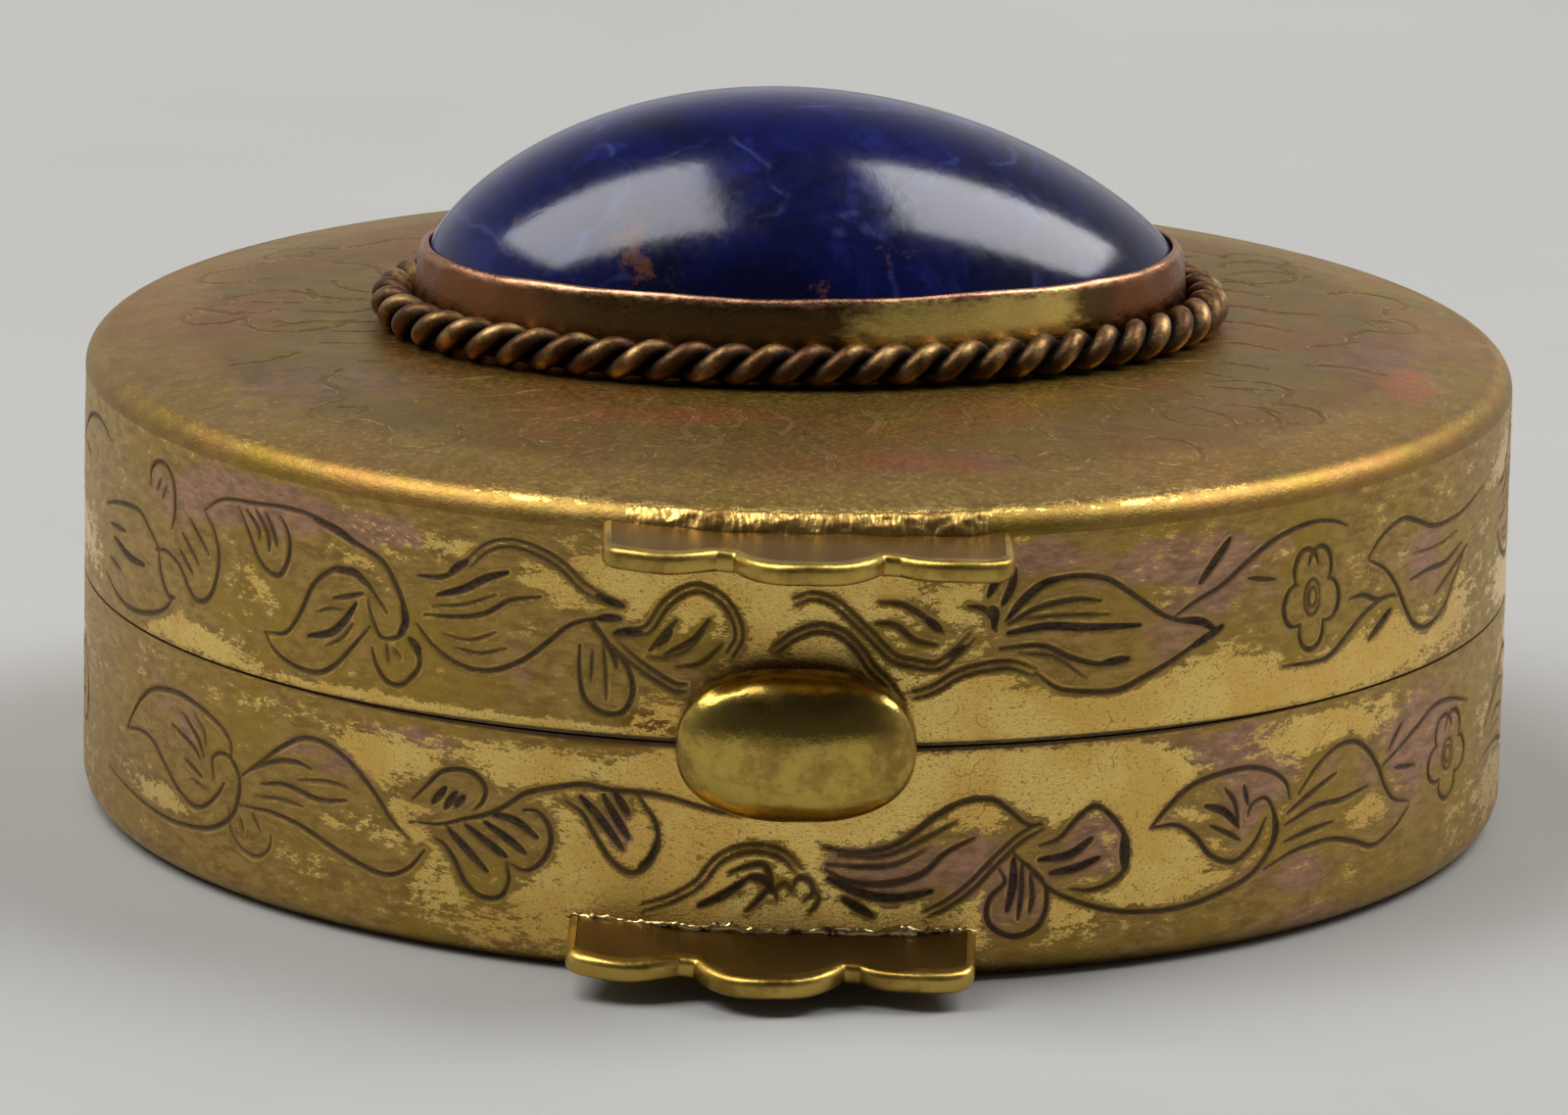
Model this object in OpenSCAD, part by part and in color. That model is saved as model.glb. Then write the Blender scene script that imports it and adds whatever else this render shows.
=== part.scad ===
// Round hinged brass needle case with an oval cabochon set in its lid.
// The base and the lid are two pressed shells. A three-knuckle hinge joins them at the back. At the
// front a push button works a catch, and each shell has a scalloped thumb tab.
// Millimetres. +Z is up, the front faces -Y, and the origin is the centre of the underside.

/* [Case] */
// Outside diameter of both shells
case_d = 50; // [48:0.5:56]
// Height of the seam between base and lid
seam_z = 8.2; // [8:0.1:9]
// Height of the lid where its top meets the rounded edge
edge_z = 16.2; // [15.8:0.02:17.4]
// Rise from that edge to the flat seat in the middle of the lid
crown = 0.75; // [0.4:0.01:1.2]
// Thickness of the sheet brass
sheet = 0.8; // [0.6:0.05:0.85]
// Gap between the two rims when the case is shut
seam_gap = 0.08; // [0.04:0.01:0.2]
// Radius of the lid's rounded top edge
lid_round = 0.9; // [0.9:0.1:1.8]
// Radius of the base's rounded bottom edge
base_round = 1.1; // [0.9:0.1:1.5]

/* [Collar] */
// Height of the inner collar above the seam
collar_rise = 1.5; // [1:0.1:2]
// Thickness of the collar
collar_t = 0.6; // [0.4:0.05:0.7]
// Clearance between the collar and the lid
collar_clear = 0.1; // [0.06:0.01:0.2]

/* [Stone setting] */
// Half length of the bezel's outline
bezel_a = 13.55; // [12.5:0.05:14]
// Half width of the bezel's outline
bezel_b = 9.3; // [8.5:0.05:10]
// Height of the bezel over the lid's seat
bezel_h = 2.9; // [2.4:0.1:3.4]
// Height of the stone's dome over its girdle
dome_h = 5.7; // [3:0.1:6.5]
// Turn of the whole setting about the vertical
setting_turn = 6.5; // [-15:0.5:15]
// Diameter of each wire in the rope border
wire_d = 0.74; // [0.6:0.02:0.8]
// Full turns of the rope around the setting
rope_turns = 28; // [20:1:34]

/* [Thumb tabs] */
// Width of each tab
tab_w = 13.6; // [12.6:0.1:14.6]
// Reach of the middle lobe beyond the wall
tab_reach = 4.2; // [3.8:0.1:4.8]
// Reach of the two side lobes
tab_side_reach = 3.1; // [2.9:0.1:3.4]
// Reach of the straight notches between the lobes
tab_notch_reach = 2.5; // [2.4:0.05:2.7]
// Thickness of each tab
tab_t = 0.75; // [0.6:0.05:0.9]
// Height of the lid tab's upper face at the wall
lid_tab_z = 15.5; // [14.8:0.05:15.5]
// Height of the base tab's upper face at the wall
base_tab_z = 1.78; // [1.7:0.02:3]
// Downward slope of the lid tab
lid_tab_slope = 1; // [0:1:6]
// Downward slope of the base tab
base_tab_slope = 7; // [0:1:8]
// Tilt of both tabs, lower on the right
tab_tilt = 0.75; // [0:0.25:1]

/* [Hinge] */
// Distance from the wall to the hinge axis
hinge_out = 1.2; // [1.15:0.05:1.5]
// Diameter of the hinge pin
pin_d = 1; // [0.8:0.1:1]
// Outside diameter of the knuckles
knuckle_d = 1.9; // [1.7:0.1:2]
// Length of the whole barrel
barrel_l = 14; // [10:1:16]
// Opening angle of the lid
open_angle = 105; // [90:1:115]

/* [Catch] */
// Width of the push button
button_w = 8; // [6.5:0.1:9]
// Height of the push button
button_h = 5.1; // [4.4:0.1:5.8]
// Depth of the push button's dome
button_depth = 1.5; // [1:0.1:2]
// Place of the button along the front
button_x = 0.15; // [-0.5:0.05:0.5]
// Travel of the button
travel = 0.7; // [0.5:0.05:0.8]

/* [Hidden] */
$fn = 96;

case_r = case_d / 2;
base_top = seam_z - seam_gap / 2;
lid_foot = seam_z + seam_gap / 2;
collar_r = case_r - sheet - collar_clear;
collar_foot = 4.6;
seat_r = 15.9;
seat_z = edge_z + crown;
crown_r = case_r - lid_round;

stem_r = 0.8;
stem_clear = 0.15;
button_gap = travel + 0.1;
button_rise = 0.35;
prong_inner = 1.25;
prong_outer = 2.2;
prong_y = -(collar_r - collar_t - 0.3);
prong_t = 0.4;
foot_y = prong_y + 1;
foot_z = seam_z - 1.7;
foot_t = 0.5;
nose_y = foot_y + 0.05;
nose_t = 0.65;
nose_z = foot_z + foot_t + 0.05;
spring_t = 0.25;
spring_angle = 22;
spring_pad = 7;
rivet_angle = spring_angle - spring_pad / 2;
spring_foot_z = seam_z - 0.7;
spring_height = 1.5;
rivet_r = 0.35;

hinge_y = case_r + hinge_out;
leaf_t = 0.3;
knuckle_gap = 0.08;
lid_knuckle_l = 6;
pin_clear = 0.05;
head_t = 0.25;
spur_reach = 0.95;
spur_t = 0.6;
spur_lean = 20;

oval_steps = 72;
plate_t = 0.4;
stone_fit = 0.46;
girdle_drop = 0.35;
rope_steps = 6;
rope_sides = 6;
strand_offset = wire_d / 2 + 0.015;
rope_gap = 0.03;
dome_levels = 10;
dome_power = 0.76;
dome_apex_x = -1;

card_t = 0.5;
pad_r = 21.6;
pad_t = 2.7;
lining_t = 0.9;

function arc(x, y, r, from, to, steps = 8) =
  [for (i = [0:steps]) let (a = from + (to - from) * i / steps) [x + r * cos(a), y + r * sin(a)]];

function unit(v) = v / norm(v);

// Height of the lid's outer face at radius r, from the rounded edge to the flat seat.
function crown_z(r) = seat_z - crown * pow((r - seat_r) / (crown_r - seat_r), 2.4);

function crown_line(drop, from, to, steps = 10) =
  [for (i = [0:steps]) let (r = from + (to - from) * i / steps) [r, crown_z(r) - drop]];

function oval(a, b, u) = [a * cos(u), b * sin(u)];

function oval_outward(a, b, u) = unit([b * cos(u), a * sin(u)]);

// Closed skin over a ring of sections, each a loop of the same number of points.
module closed_sweep(sections) {
  rings = len(sections);
  sides = len(sections[0]);
  points = [for (section = sections) for (point = section) point];
  faces = [
    for (i = [0:rings - 1]) for (j = [0:sides - 1])
      let (
        here = i * sides,
        next = (i + 1) % rings * sides,
        k = (j + 1) % sides
      )
      each [[here + j, next + j, next + k], [here + j, next + k, here + k]]
  ];
  polyhedron(points = points, faces = faces, convexity = 6);
}

// Skin over stacked levels, closed by a flat bottom and a flat top.
module stacked_levels(levels) {
  count = len(levels);
  sides = len(levels[0]);
  points = [for (level = levels) for (point = level) point];
  walls = [
    for (i = [0:count - 2]) for (j = [0:sides - 1])
      let (
        here = i * sides,
        above = (i + 1) * sides,
        k = (j + 1) % sides
      )
      each [[here + j, above + j, above + k], [here + j, above + k, here + k]]
  ];
  floor_face = [[for (j = [0:sides - 1]) j]];
  top_face = [[for (j = [sides - 1:-1:0]) (count - 1) * sides + j]];
  polyhedron(points = points, faces = concat(walls, floor_face, top_face), convexity = 4);
}

module on_setting() {
  rotate([0, 0, setting_turn]) translate([0, 0, seat_z]) children();
}

module along_y(x, z, from, to, r) {
  translate([x, from, z]) rotate([-90, 0, 0]) cylinder(h = to - from, r = r);
}

// Room for the button's stem where it crosses both rims.
module stem_notch() {
  along_y(button_x, seam_z, -case_r - 1, -case_r + 2, stem_r + stem_clear);
}

// ---- Base ----

module base_shell() {
  inner_r = collar_r;
  inner_round = base_round - sheet;
  outline = concat(
    [[0, 0]],
    arc(case_r - base_round, base_round, base_round, -90, 0),
    [[case_r, base_top], [inner_r, base_top]],
    arc(inner_r - inner_round, sheet + inner_round, inner_round, 0, -90, 3),
    [[0, sheet]]
  );
  color("goldenrod")
    difference() {
      rotate_extrude() polygon(outline);
      stem_notch();
    }
}

module base_collar() {
  slot_w = 2 * (stem_r + stem_clear);
  slot_z = seam_z - stem_r - stem_clear;
  lead = 0.25;
  color("darkgoldenrod")
    difference() {
      rotate_extrude()
        polygon([
          [collar_r - collar_t, collar_foot],
          [collar_r, collar_foot],
          [collar_r, seam_z + collar_rise - lead],
          [collar_r - lead, seam_z + collar_rise],
          [collar_r - collar_t, seam_z + collar_rise]
        ]);
      translate([button_x - slot_w / 2, -case_r, slot_z]) cube([slot_w, 4, seam_z]);
      rivet_holes();
    }
}

// Circle through the ends of a chord on the notch line, with its crown at the given reach.
module lobe(x, half_chord, reach) {
  rise = reach - tab_notch_reach;
  r = (half_chord * half_chord + rise * rise) / (2 * rise);
  translate([x, -case_r - reach + r]) circle(r);
}

// Plan of a thumb tab: a strip along the wall with three shallow lobes on its free edge.
module tab_plan() {
  middle_half = 2.5;
  notch_w = 0.5;
  corner = 0.9;
  side_half = (tab_w / 2 - middle_half - notch_w) / 2;
  side_x = middle_half + notch_w + side_half;
  side_rise = tab_side_reach - tab_notch_reach;
  side_r = (side_half * side_half + side_rise * side_rise) / (2 * side_rise);
  corner_x = tab_w / 2 - corner;
  corner_reach = sqrt(pow(side_r - corner, 2) - pow(corner_x - side_x, 2));
  corner_y = case_r + tab_side_reach - side_r + corner_reach;
  join_x = side_x + (corner_x - side_x) * side_r / (side_r - corner);
  intersection() {
    union() {
      lobe(0, middle_half, tab_reach);
      for (side = [-1, 1])
        lobe(side * side_x, side_half, tab_side_reach);
      translate([-tab_w / 2, -case_r - tab_notch_reach]) square([tab_w, case_r]);
    }
    union() {
      translate([-tab_w / 2, -corner_y]) square([tab_w, 6]);
      translate([-join_x, -case_r - tab_reach]) square([2 * join_x, case_r]);
      for (side = [-1, 1])
        translate([side * corner_x, -corner_y]) circle(corner);
    }
    translate([-tab_w, -case_r - 2 * tab_reach]) square([2 * tab_w, 2 * tab_reach + 1.8]);
  }
}

// Tab with its upper face at height z on the wall, before the wall is cut away from it.
module placed_tab(z, slope, turn) {
  rotate([0, 0, turn])
    translate([0, -case_r, z])
      rotate([slope, tab_tilt, 0])
        translate([0, case_r, -tab_t])
          linear_extrude(tab_t) tab_plan();
}

module base_tab() {
  color("goldenrod")
    difference() {
      placed_tab(base_tab_z, base_tab_slope, -1.2);
      translate([0, 0, base_round]) cylinder(h = seam_z, r = case_r);
      rotate_extrude()
        polygon(concat(
          [[0, 0]],
          arc(case_r - base_round, base_round, base_round, -90, 0),
          [[0, base_round]]
        ));
    }
}

// ---- Hinge ----

module wall_leaf(from_z, to_z) {
  intersection() {
    difference() {
      translate([0, 0, from_z]) cylinder(h = to_z - from_z, r = case_r + leaf_t);
      translate([0, 0, from_z - 1]) cylinder(h = to_z - from_z + 2, r = case_r);
    }
    translate([-barrel_l / 2 + 0.1, 0, 0]) cube([barrel_l - 0.2, case_d, edge_z]);
  }
}

// Length of barrel from x0 to x1 with a web that joins it to its leaf. side is -1 below the axis.
module knuckle(x0, x1, side, bore_r) {
  web_z = side < 0 ? seam_z - knuckle_d / 2 : seam_z + knuckle_d / 2 - 0.6;
  difference() {
    union() {
      translate([x0, hinge_y, seam_z]) rotate([0, 90, 0]) cylinder(h = x1 - x0, d = knuckle_d);
      translate([x0, case_r - 1.5, web_z]) cube([x1 - x0, hinge_out + 1.5, 0.6]);
    }
    cylinder(h = edge_z, r = case_r);
    translate([x0 - 1, hinge_y, seam_z]) rotate([0, 90, 0]) cylinder(h = x1 - x0 + 2, r = bore_r);
  }
}

module hinge_base_leaf() {
  color("darkgoldenrod") {
    wall_leaf(2, seam_z - knuckle_d / 2 + 0.3);
    for (side = [-1, 1])
      knuckle(
        side < 0 ? -barrel_l / 2 : lid_knuckle_l / 2 + knuckle_gap,
        side < 0 ? -lid_knuckle_l / 2 - knuckle_gap : barrel_l / 2,
        -1,
        pin_d / 2
      );
  }
}

// The spur behind the middle knuckle meets the base leaf when the lid is fully open.
module hinge_lid_leaf() {
  spur_from = knuckle_d / 2 - 0.15;
  color("darkgoldenrod") {
    wall_leaf(seam_z + knuckle_d / 2 - 0.3, 13.2);
    knuckle(-lid_knuckle_l / 2, lid_knuckle_l / 2, 1, pin_d / 2 + pin_clear);
    translate([0, hinge_y, seam_z])
      rotate([open_angle - 90 - spur_lean - 0.5, 0, 0])
        translate([-lid_knuckle_l / 2, spur_from, -spur_t / 2])
          cube([lid_knuckle_l, spur_reach + 0.15, spur_t]);
  }
}

module hinge_pin() {
  color("gold") {
    translate([-barrel_l / 2, hinge_y, seam_z]) rotate([0, 90, 0]) cylinder(h = barrel_l, d = pin_d);
    for (side = [-1, 1])
      translate([side * (barrel_l + head_t) / 2 - head_t / 2, hinge_y, seam_z])
        rotate([0, 90, 0]) cylinder(h = head_t, d = pin_d + 0.4);
  }
}

// ---- Catch ----

module rivet_holes() {
  for (side = [-1, 1])
    rotate([0, 0, side * rivet_angle])
      along_y(0, spring_foot_z + spring_height / 2, -collar_r, -case_r + 5, rivet_r);
}

// The leaf's ends lie on the collar, and its arms lean in to a flat middle behind the nose.
module catch_spring() {
  pad_r = collar_r - collar_t - 0.02;
  middle = prong_outer + 0.5;
  middle_y = nose_y + nose_t + 0.04;
  color("silver")
    difference() {
      translate([0, 0, spring_foot_z])
        linear_extrude(spring_height)
          polygon(concat(
            arc(0, 0, pad_r, -90 - spring_angle, -90 - spring_angle + spring_pad, 4),
            [[-middle, middle_y], [middle, middle_y]],
            arc(0, 0, pad_r, -90 + spring_angle - spring_pad, -90 + spring_angle, 4),
            arc(0, 0, pad_r - spring_t, -90 + spring_angle, -90 + spring_angle - spring_pad, 4),
            [[middle, middle_y + spring_t], [-middle, middle_y + spring_t]],
            arc(0, 0, pad_r - spring_t, -90 - spring_angle + spring_pad, -90 - spring_angle, 4)
          ));
      rivet_holes();
    }
}

module spring_rivets() {
  seat_y = -(collar_r - collar_t - spring_t - 0.05);
  z = spring_foot_z + spring_height / 2;
  color("gold")
    for (side = [-1, 1])
      rotate([0, 0, side * rivet_angle]) {
        along_y(0, z, -collar_r + 0.02, seat_y, rivet_r);
        along_y(0, z, seat_y, seat_y + 0.3, rivet_r + 0.3);
      }
}

module catch_keeper() {
  arm_top = seam_z + collar_rise + 0.3;
  web_t = 0.5;
  plate_top = 13;
  color("darkgoldenrod")
    translate([button_x, 0, 0]) {
      for (side = [-1, 1])
        translate([side < 0 ? -prong_outer : prong_inner, 0, 0]) {
          translate([0, prong_y, foot_z])
            cube([prong_outer - prong_inner, prong_t, arm_top + web_t - foot_z]);
          translate([0, prong_y, foot_z]) cube([prong_outer - prong_inner, foot_y - prong_y, foot_t]);
        }
      intersection() {
        translate([-prong_outer, -case_r, arm_top])
          cube([2 * prong_outer, case_r + prong_y + prong_t, web_t]);
        translate([-button_x, 0, arm_top]) cylinder(h = web_t, r = case_r - sheet);
      }
      intersection() {
        translate([-prong_outer, -case_r, arm_top]) cube([2 * prong_outer, 4, plate_top - arm_top]);
        translate([-button_x, 0, 0])
          difference() {
            translate([0, 0, arm_top]) cylinder(h = plate_top - arm_top, r = case_r - sheet);
            cylinder(h = plate_top + 1, r = case_r - sheet - 0.5);
          }
      }
    }
}

module catch_nose() {
  top_z = seam_z + 0.4;
  slant = 0.4;
  color("goldenrod")
    translate([button_x - prong_outer + 0.1, 0, 0])
      rotate([90, 0, 90])
        linear_extrude(2 * prong_outer - 0.2)
          polygon([
            [nose_y, nose_z],
            [nose_y + nose_t, nose_z],
            [nose_y + nose_t, top_z],
            [nose_y + slant, top_z],
            [nose_y, top_z - slant]
          ]);
}

module button_stem() {
  color("goldenrod") along_y(button_x, seam_z, -case_r - button_gap, nose_y, stem_r);
}

// Oval dome with a hollowed back that follows the curve of the wall.
module button_dome() {
  rim = 0.5;
  levels = 9;
  sides = 48;
  power = 2.4;
  back_y = -case_r - button_gap + 0.6;
  rim_y = -case_r - button_gap - rim;
  function outline(u, k) =
    [k * button_w / 2 * sign(cos(u)) * pow(abs(cos(u)), 2 / power),
     k * button_h / 2 * sign(sin(u)) * pow(abs(sin(u)), 2 / power)];
  function level(k, y) =
    [for (j = [0:sides - 1]) let (p = outline(360 * j / sides, k))
      [button_x + p[0], y, seam_z + button_rise + p[1]]];
  dome = [
    for (i = [1:levels])
      let (lift = 90 * i / (levels + 0.6))
      level(cos(lift), rim_y - button_depth * sin(lift))
  ];
  color("goldenrod")
    difference() {
      stacked_levels(concat([level(1, back_y), level(1, rim_y)], dome));
      translate([0, 0, -1]) cylinder(h = edge_z, r = case_r + button_gap);
    }
}

// ---- Lid ----

module lid_shell() {
  inner_r = case_r - sheet;
  outline = concat(
    [[0, seat_z]],
    crown_line(0, seat_r, crown_r),
    arc(crown_r, edge_z - lid_round, lid_round, 80, 0),
    [[case_r, lid_foot], [inner_r, lid_foot]],
    arc(crown_r, edge_z - lid_round, lid_round - sheet, 0, 80, 5),
    crown_line(sheet, crown_r, seat_r),
    [[0, seat_z - sheet]]
  );
  color("goldenrod")
    difference() {
      rotate_extrude() polygon(outline);
      stem_notch();
    }
}

module lid_tab() {
  color("goldenrod")
    difference() {
      placed_tab(lid_tab_z, lid_tab_slope, 0.95);
      cylinder(h = edge_z - lid_round, r = case_r);
      rotate_extrude()
        polygon(concat(
          [[0, edge_z - lid_round - 0.1], [case_r, edge_z - lid_round - 0.1]],
          arc(crown_r, edge_z - lid_round, lid_round, 0, 80),
          [[crown_r, edge_z], [0, edge_z]]
        ));
    }
}

// ---- Stone setting ----

module setting_plate() {
  inset = 0.45;
  color("peru")
    on_setting()
      linear_extrude(plate_t)
        polygon([for (i = [0:oval_steps - 1])
          oval(bezel_a - inset, bezel_b - inset, 360 * i / oval_steps)]);
}

// The bezel's wall stands upright at its foot and is pressed in over the stone at its lip.
module bezel_wall() {
  section = [
    [0, 0], [0, 1.3], [0.07, bezel_h - 0.7], [0.17, bezel_h - 0.25], [0.3, bezel_h - 0.03],
    [0.4, bezel_h], [0.5, bezel_h - 0.04], [0.38, bezel_h - 0.45], [0.38, 0]
  ];
  color("peru")
    on_setting()
      closed_sweep([
        for (i = [0:oval_steps - 1])
          [for (point = section)
            let (edge = oval(bezel_a - point[0], bezel_b - point[0], 360 * i / oval_steps))
            [edge[0], edge[1], point[1]]]
      ]);
}

module cabochon() {
  a = bezel_a - stone_fit;
  b = bezel_b - stone_fit;
  girdle = bezel_h - girdle_drop;
  function level(k, x, z) =
    [for (j = [0:oval_steps - 1])
      let (p = oval(a * k, b * k, 360 * j / oval_steps))
      [p[0] + x, p[1], z]];
  dome = [
    for (i = [1:dome_levels])
      let (
        k = cos(90 * i / (dome_levels + 0.5)),
        lift = pow(1 - k * k, dome_power)
      )
      level(k, dome_apex_x * lift, girdle + dome_h * lift)
  ];
  color("darkblue")
    on_setting()
      stacked_levels(concat(
        [level(0.96, 0, plate_t + 0.02), level(1, 0, plate_t + 0.8), level(1, 0, girdle)],
        dome
      ));
}

// Table from distance along an oval to the angle that reaches it.
function oval_table(a, b, steps = 240) =
  [for (i = 0, s = 0; i <= steps;
        s = s + norm(oval(a, b, 360 * (i + 1) / steps) - oval(a, b, 360 * i / steps)), i = i + 1)
    [s, 360 * i / steps]];

rope_a = bezel_a + strand_offset + wire_d / 2 + rope_gap;
rope_b = bezel_b + strand_offset + wire_d / 2 + rope_gap;
rope_z = strand_offset + wire_d / 2 + 0.02;
rope_table = oval_table(rope_a, rope_b);
rope_length = rope_table[len(rope_table) - 1][0];

// Centre of one wire at fraction f of the way round, and the direction from the rope's core to it.
function wire_frame(f, phase) =
  let (
    u = lookup((f - floor(f)) * rope_length, rope_table),
    out = oval_outward(rope_a, rope_b, u),
    twist = 360 * rope_turns * f + phase,
    away = [cos(twist) * out[0], cos(twist) * out[1], sin(twist)],
    core = oval(rope_a, rope_b, u)
  )
  [[core[0], core[1], rope_z] + strand_offset * away, away];

module rope_strand(phase) {
  rings = rope_turns * rope_steps;
  near = 0.1 / rings;
  on_setting()
    closed_sweep([
      for (i = [0:rings - 1])
        let (
          f = i / rings,
          here = wire_frame(f, phase),
          along = unit(wire_frame(f + near, phase)[0] - wire_frame(f - near, phase)[0]),
          across = unit(cross(along, here[1])),
          out = cross(across, along)
        )
        [for (j = [0:rope_sides - 1])
          let (a = 360 * j / rope_sides)
          here[0] + wire_d / 2 * (cos(a) * out + sin(a) * across)]
    ]);
}

module rope_strand_a() {
  color("sienna") rope_strand(0);
}

module rope_strand_b() {
  color("chocolate") rope_strand(180);
}

// ---- Linings ----

module pad_card() {
  card_r = collar_r - 0.8;
  color("tan") translate([0, 0, sheet + 0.02]) cylinder(h = card_t, r = card_r);
}

module needle_pad() {
  crowned = 0.5;
  foot = sheet + card_t + 0.05;
  round_r = 1;
  outline = concat(
    [[0, foot], [pad_r - 0.4, foot], [pad_r, foot + 0.6]],
    [[pad_r, foot + pad_t - crowned - round_r]],
    arc(pad_r - round_r, foot + pad_t - crowned - round_r, round_r, 15, 75, 4),
    [for (i = [1:6]) let (r = (pad_r - round_r) * (1 - i / 6))
      [r, foot + pad_t - crowned * pow(r / (pad_r - round_r), 2)]]
  );
  color("midnightblue") rotate_extrude() polygon(outline);
}

// The card and the lining follow the inside of the crowned lid.
module lining_card() {
  drop = sheet + 0.02;
  card_r = 22.4;
  color("tan")
    rotate_extrude()
      polygon(concat(
        [[0, seat_z - drop]],
        crown_line(drop, seat_r, card_r, 6),
        crown_line(drop + card_t, card_r, seat_r, 6),
        [[0, seat_z - drop - card_t]]
      ));
}

module lid_lining() {
  drop = sheet + card_t + 0.06;
  lining_r = 21.9;
  edge = 0.4;
  color("midnightblue")
    rotate_extrude()
      polygon(concat(
        [[0, seat_z - drop]],
        crown_line(drop, seat_r, lining_r, 6),
        [[lining_r, crown_z(lining_r) - drop - lining_t + edge]],
        crown_line(drop + lining_t, lining_r - edge, seat_r, 6),
        [[0, seat_z - drop - lining_t]]
      ));
}

base_shell();
base_collar();
base_tab();
hinge_base_leaf();
hinge_pin();
catch_spring();
spring_rivets();
pad_card();
needle_pad();
lid_shell();
lid_tab();
hinge_lid_leaf();
catch_keeper();
lining_card();
lid_lining();
setting_plate();
bezel_wall();
cabochon();
rope_strand_a();
rope_strand_b();
button_dome();
button_stem();
catch_nose();
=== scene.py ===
"""Looks for the needle case: engraved gilt shells, thumb tabs, button, stone setting and linings.

Lengths are millimetres until they go into a mesh. On the walls a point is (u, z): u runs along the wall
from the middle of the front, to the right, and z is the height.
"""

import math

import bmesh
import bpy
import numpy as np
from mathutils import Matrix, Vector


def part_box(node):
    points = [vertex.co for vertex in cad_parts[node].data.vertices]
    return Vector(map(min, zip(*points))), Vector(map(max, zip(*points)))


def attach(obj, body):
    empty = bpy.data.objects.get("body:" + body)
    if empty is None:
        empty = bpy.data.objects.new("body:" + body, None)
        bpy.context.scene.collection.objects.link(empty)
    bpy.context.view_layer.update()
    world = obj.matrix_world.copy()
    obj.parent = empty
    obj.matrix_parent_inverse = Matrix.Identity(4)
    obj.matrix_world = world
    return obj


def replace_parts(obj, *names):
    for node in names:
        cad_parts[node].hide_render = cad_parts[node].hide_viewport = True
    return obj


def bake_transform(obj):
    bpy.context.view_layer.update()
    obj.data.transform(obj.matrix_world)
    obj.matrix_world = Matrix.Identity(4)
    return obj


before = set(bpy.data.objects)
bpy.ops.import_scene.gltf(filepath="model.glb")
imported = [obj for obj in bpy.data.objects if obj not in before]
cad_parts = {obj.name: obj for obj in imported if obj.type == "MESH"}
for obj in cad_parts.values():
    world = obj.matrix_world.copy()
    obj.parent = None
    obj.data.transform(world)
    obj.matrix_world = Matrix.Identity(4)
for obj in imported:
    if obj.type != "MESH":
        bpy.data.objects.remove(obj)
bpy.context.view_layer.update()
MM = 0.001


def extent(node):
    """Lowest and highest corner of a CAD node, in millimetres."""
    low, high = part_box(node)
    return np.array(low) / MM, np.array(high) / MM


# ---- Sizes shared with the CAD model ----

CASE_R = round(extent("base_shell")[1][0], 3)
BASE_TOP = round(extent("base_shell")[1][2], 3)
LID_FOOT = round(extent("lid_shell")[0][2], 3)
SEAM = (BASE_TOP + LID_FOOT) / 2
SEAT_Z = round(extent("lid_shell")[1][2], 3)
SHEET = 0.8
CROWN = 0.75
LID_ROUND = 0.9
BASE_ROUND = 1.1
EDGE_Z = SEAT_Z - CROWN
CROWN_R = CASE_R - LID_ROUND
SEAT_R = 15.9
COLLAR_R = CASE_R - SHEET - 0.1
WALL_TOP = EDGE_Z - LID_ROUND
NOTCH_X = 0.15
NOTCH_R = 0.95
ROUND_WALL = 2 * math.pi * CASE_R
BACK = ROUND_WALL / 2
SIDE = 38.0
LID_BAND, BASE_BAND = (8.5, 14.5), (1.5, 7.8)

SETTING_TURN = math.radians(6.5)
BEZEL_A, BEZEL_B, BEZEL_H = 13.55, 9.3, 2.9
STONE_FIT, GIRDLE_DROP = 0.46, 0.35
DOME_H, DOME_POWER, DOME_APEX_X = 5.7, 0.76, -1
WIRE_D, ROPE_TURNS = 0.74, 28
STRAND_OFFSET = WIRE_D / 2 + 0.015
ROPE_Z = STRAND_OFFSET + WIRE_D / 2 + 0.02


# ---- Meshes ----

def link(obj):
    bpy.context.scene.collection.objects.link(obj)
    return obj


def mesh_object(name, points, faces, material, sharp=40):
    """Smooth-shaded object from points in millimetres. Edges bent more than sharp degrees stay crisp."""
    mesh = bpy.data.meshes.new(name)
    mesh.from_pydata((np.asarray(points) * MM).tolist(), [], faces)
    mesh.validate()
    mesh.shade_smooth()
    mesh.set_sharp_from_angle(angle=math.radians(sharp))
    mesh.materials.append(material)
    return link(bpy.data.objects.new(name, mesh))


def grid_faces(rows, columns, closed_rows, caps, ends):
    """Quads over a grid. Its columns close on themselves, or stop at two end faces."""
    index = np.arange(rows * columns).reshape(rows, columns)
    near = index if closed_rows else index[:-1]
    far = np.roll(index, -1, axis=0) if closed_rows else index[1:]
    quads = np.stack([near, np.roll(near, -1, 1), np.roll(far, -1, 1), far], axis=-1)
    if ends:
        quads = quads[:, :-1]
    faces = quads.reshape(-1, 4).tolist()
    if ends:
        faces += [index[:, 0].tolist(), index[::-1, -1].tolist()]
    if caps:
        faces += [index[0][::-1].tolist(), index[-1].tolist()]
    return faces


def grid_object(name, grid, material, closed_rows=False, caps=False, ends=False, sharp=40):
    """Object from a (rows, columns, 3) grid whose outer side faces out as the rows run upward."""
    rows, columns = grid.shape[:2]
    faces = grid_faces(rows, columns, closed_rows, caps, ends)
    return mesh_object(name, grid.reshape(-1, 3), faces, material, sharp)


def paint(obj, **layers):
    """Stores one number per vertex under each name, for the materials to read."""
    for name, values in layers.items():
        layer = obj.data.attributes.new(name, "FLOAT", "POINT")
        layer.data.foreach_set("value", np.ascontiguousarray(values, dtype=np.float32).ravel())


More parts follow.
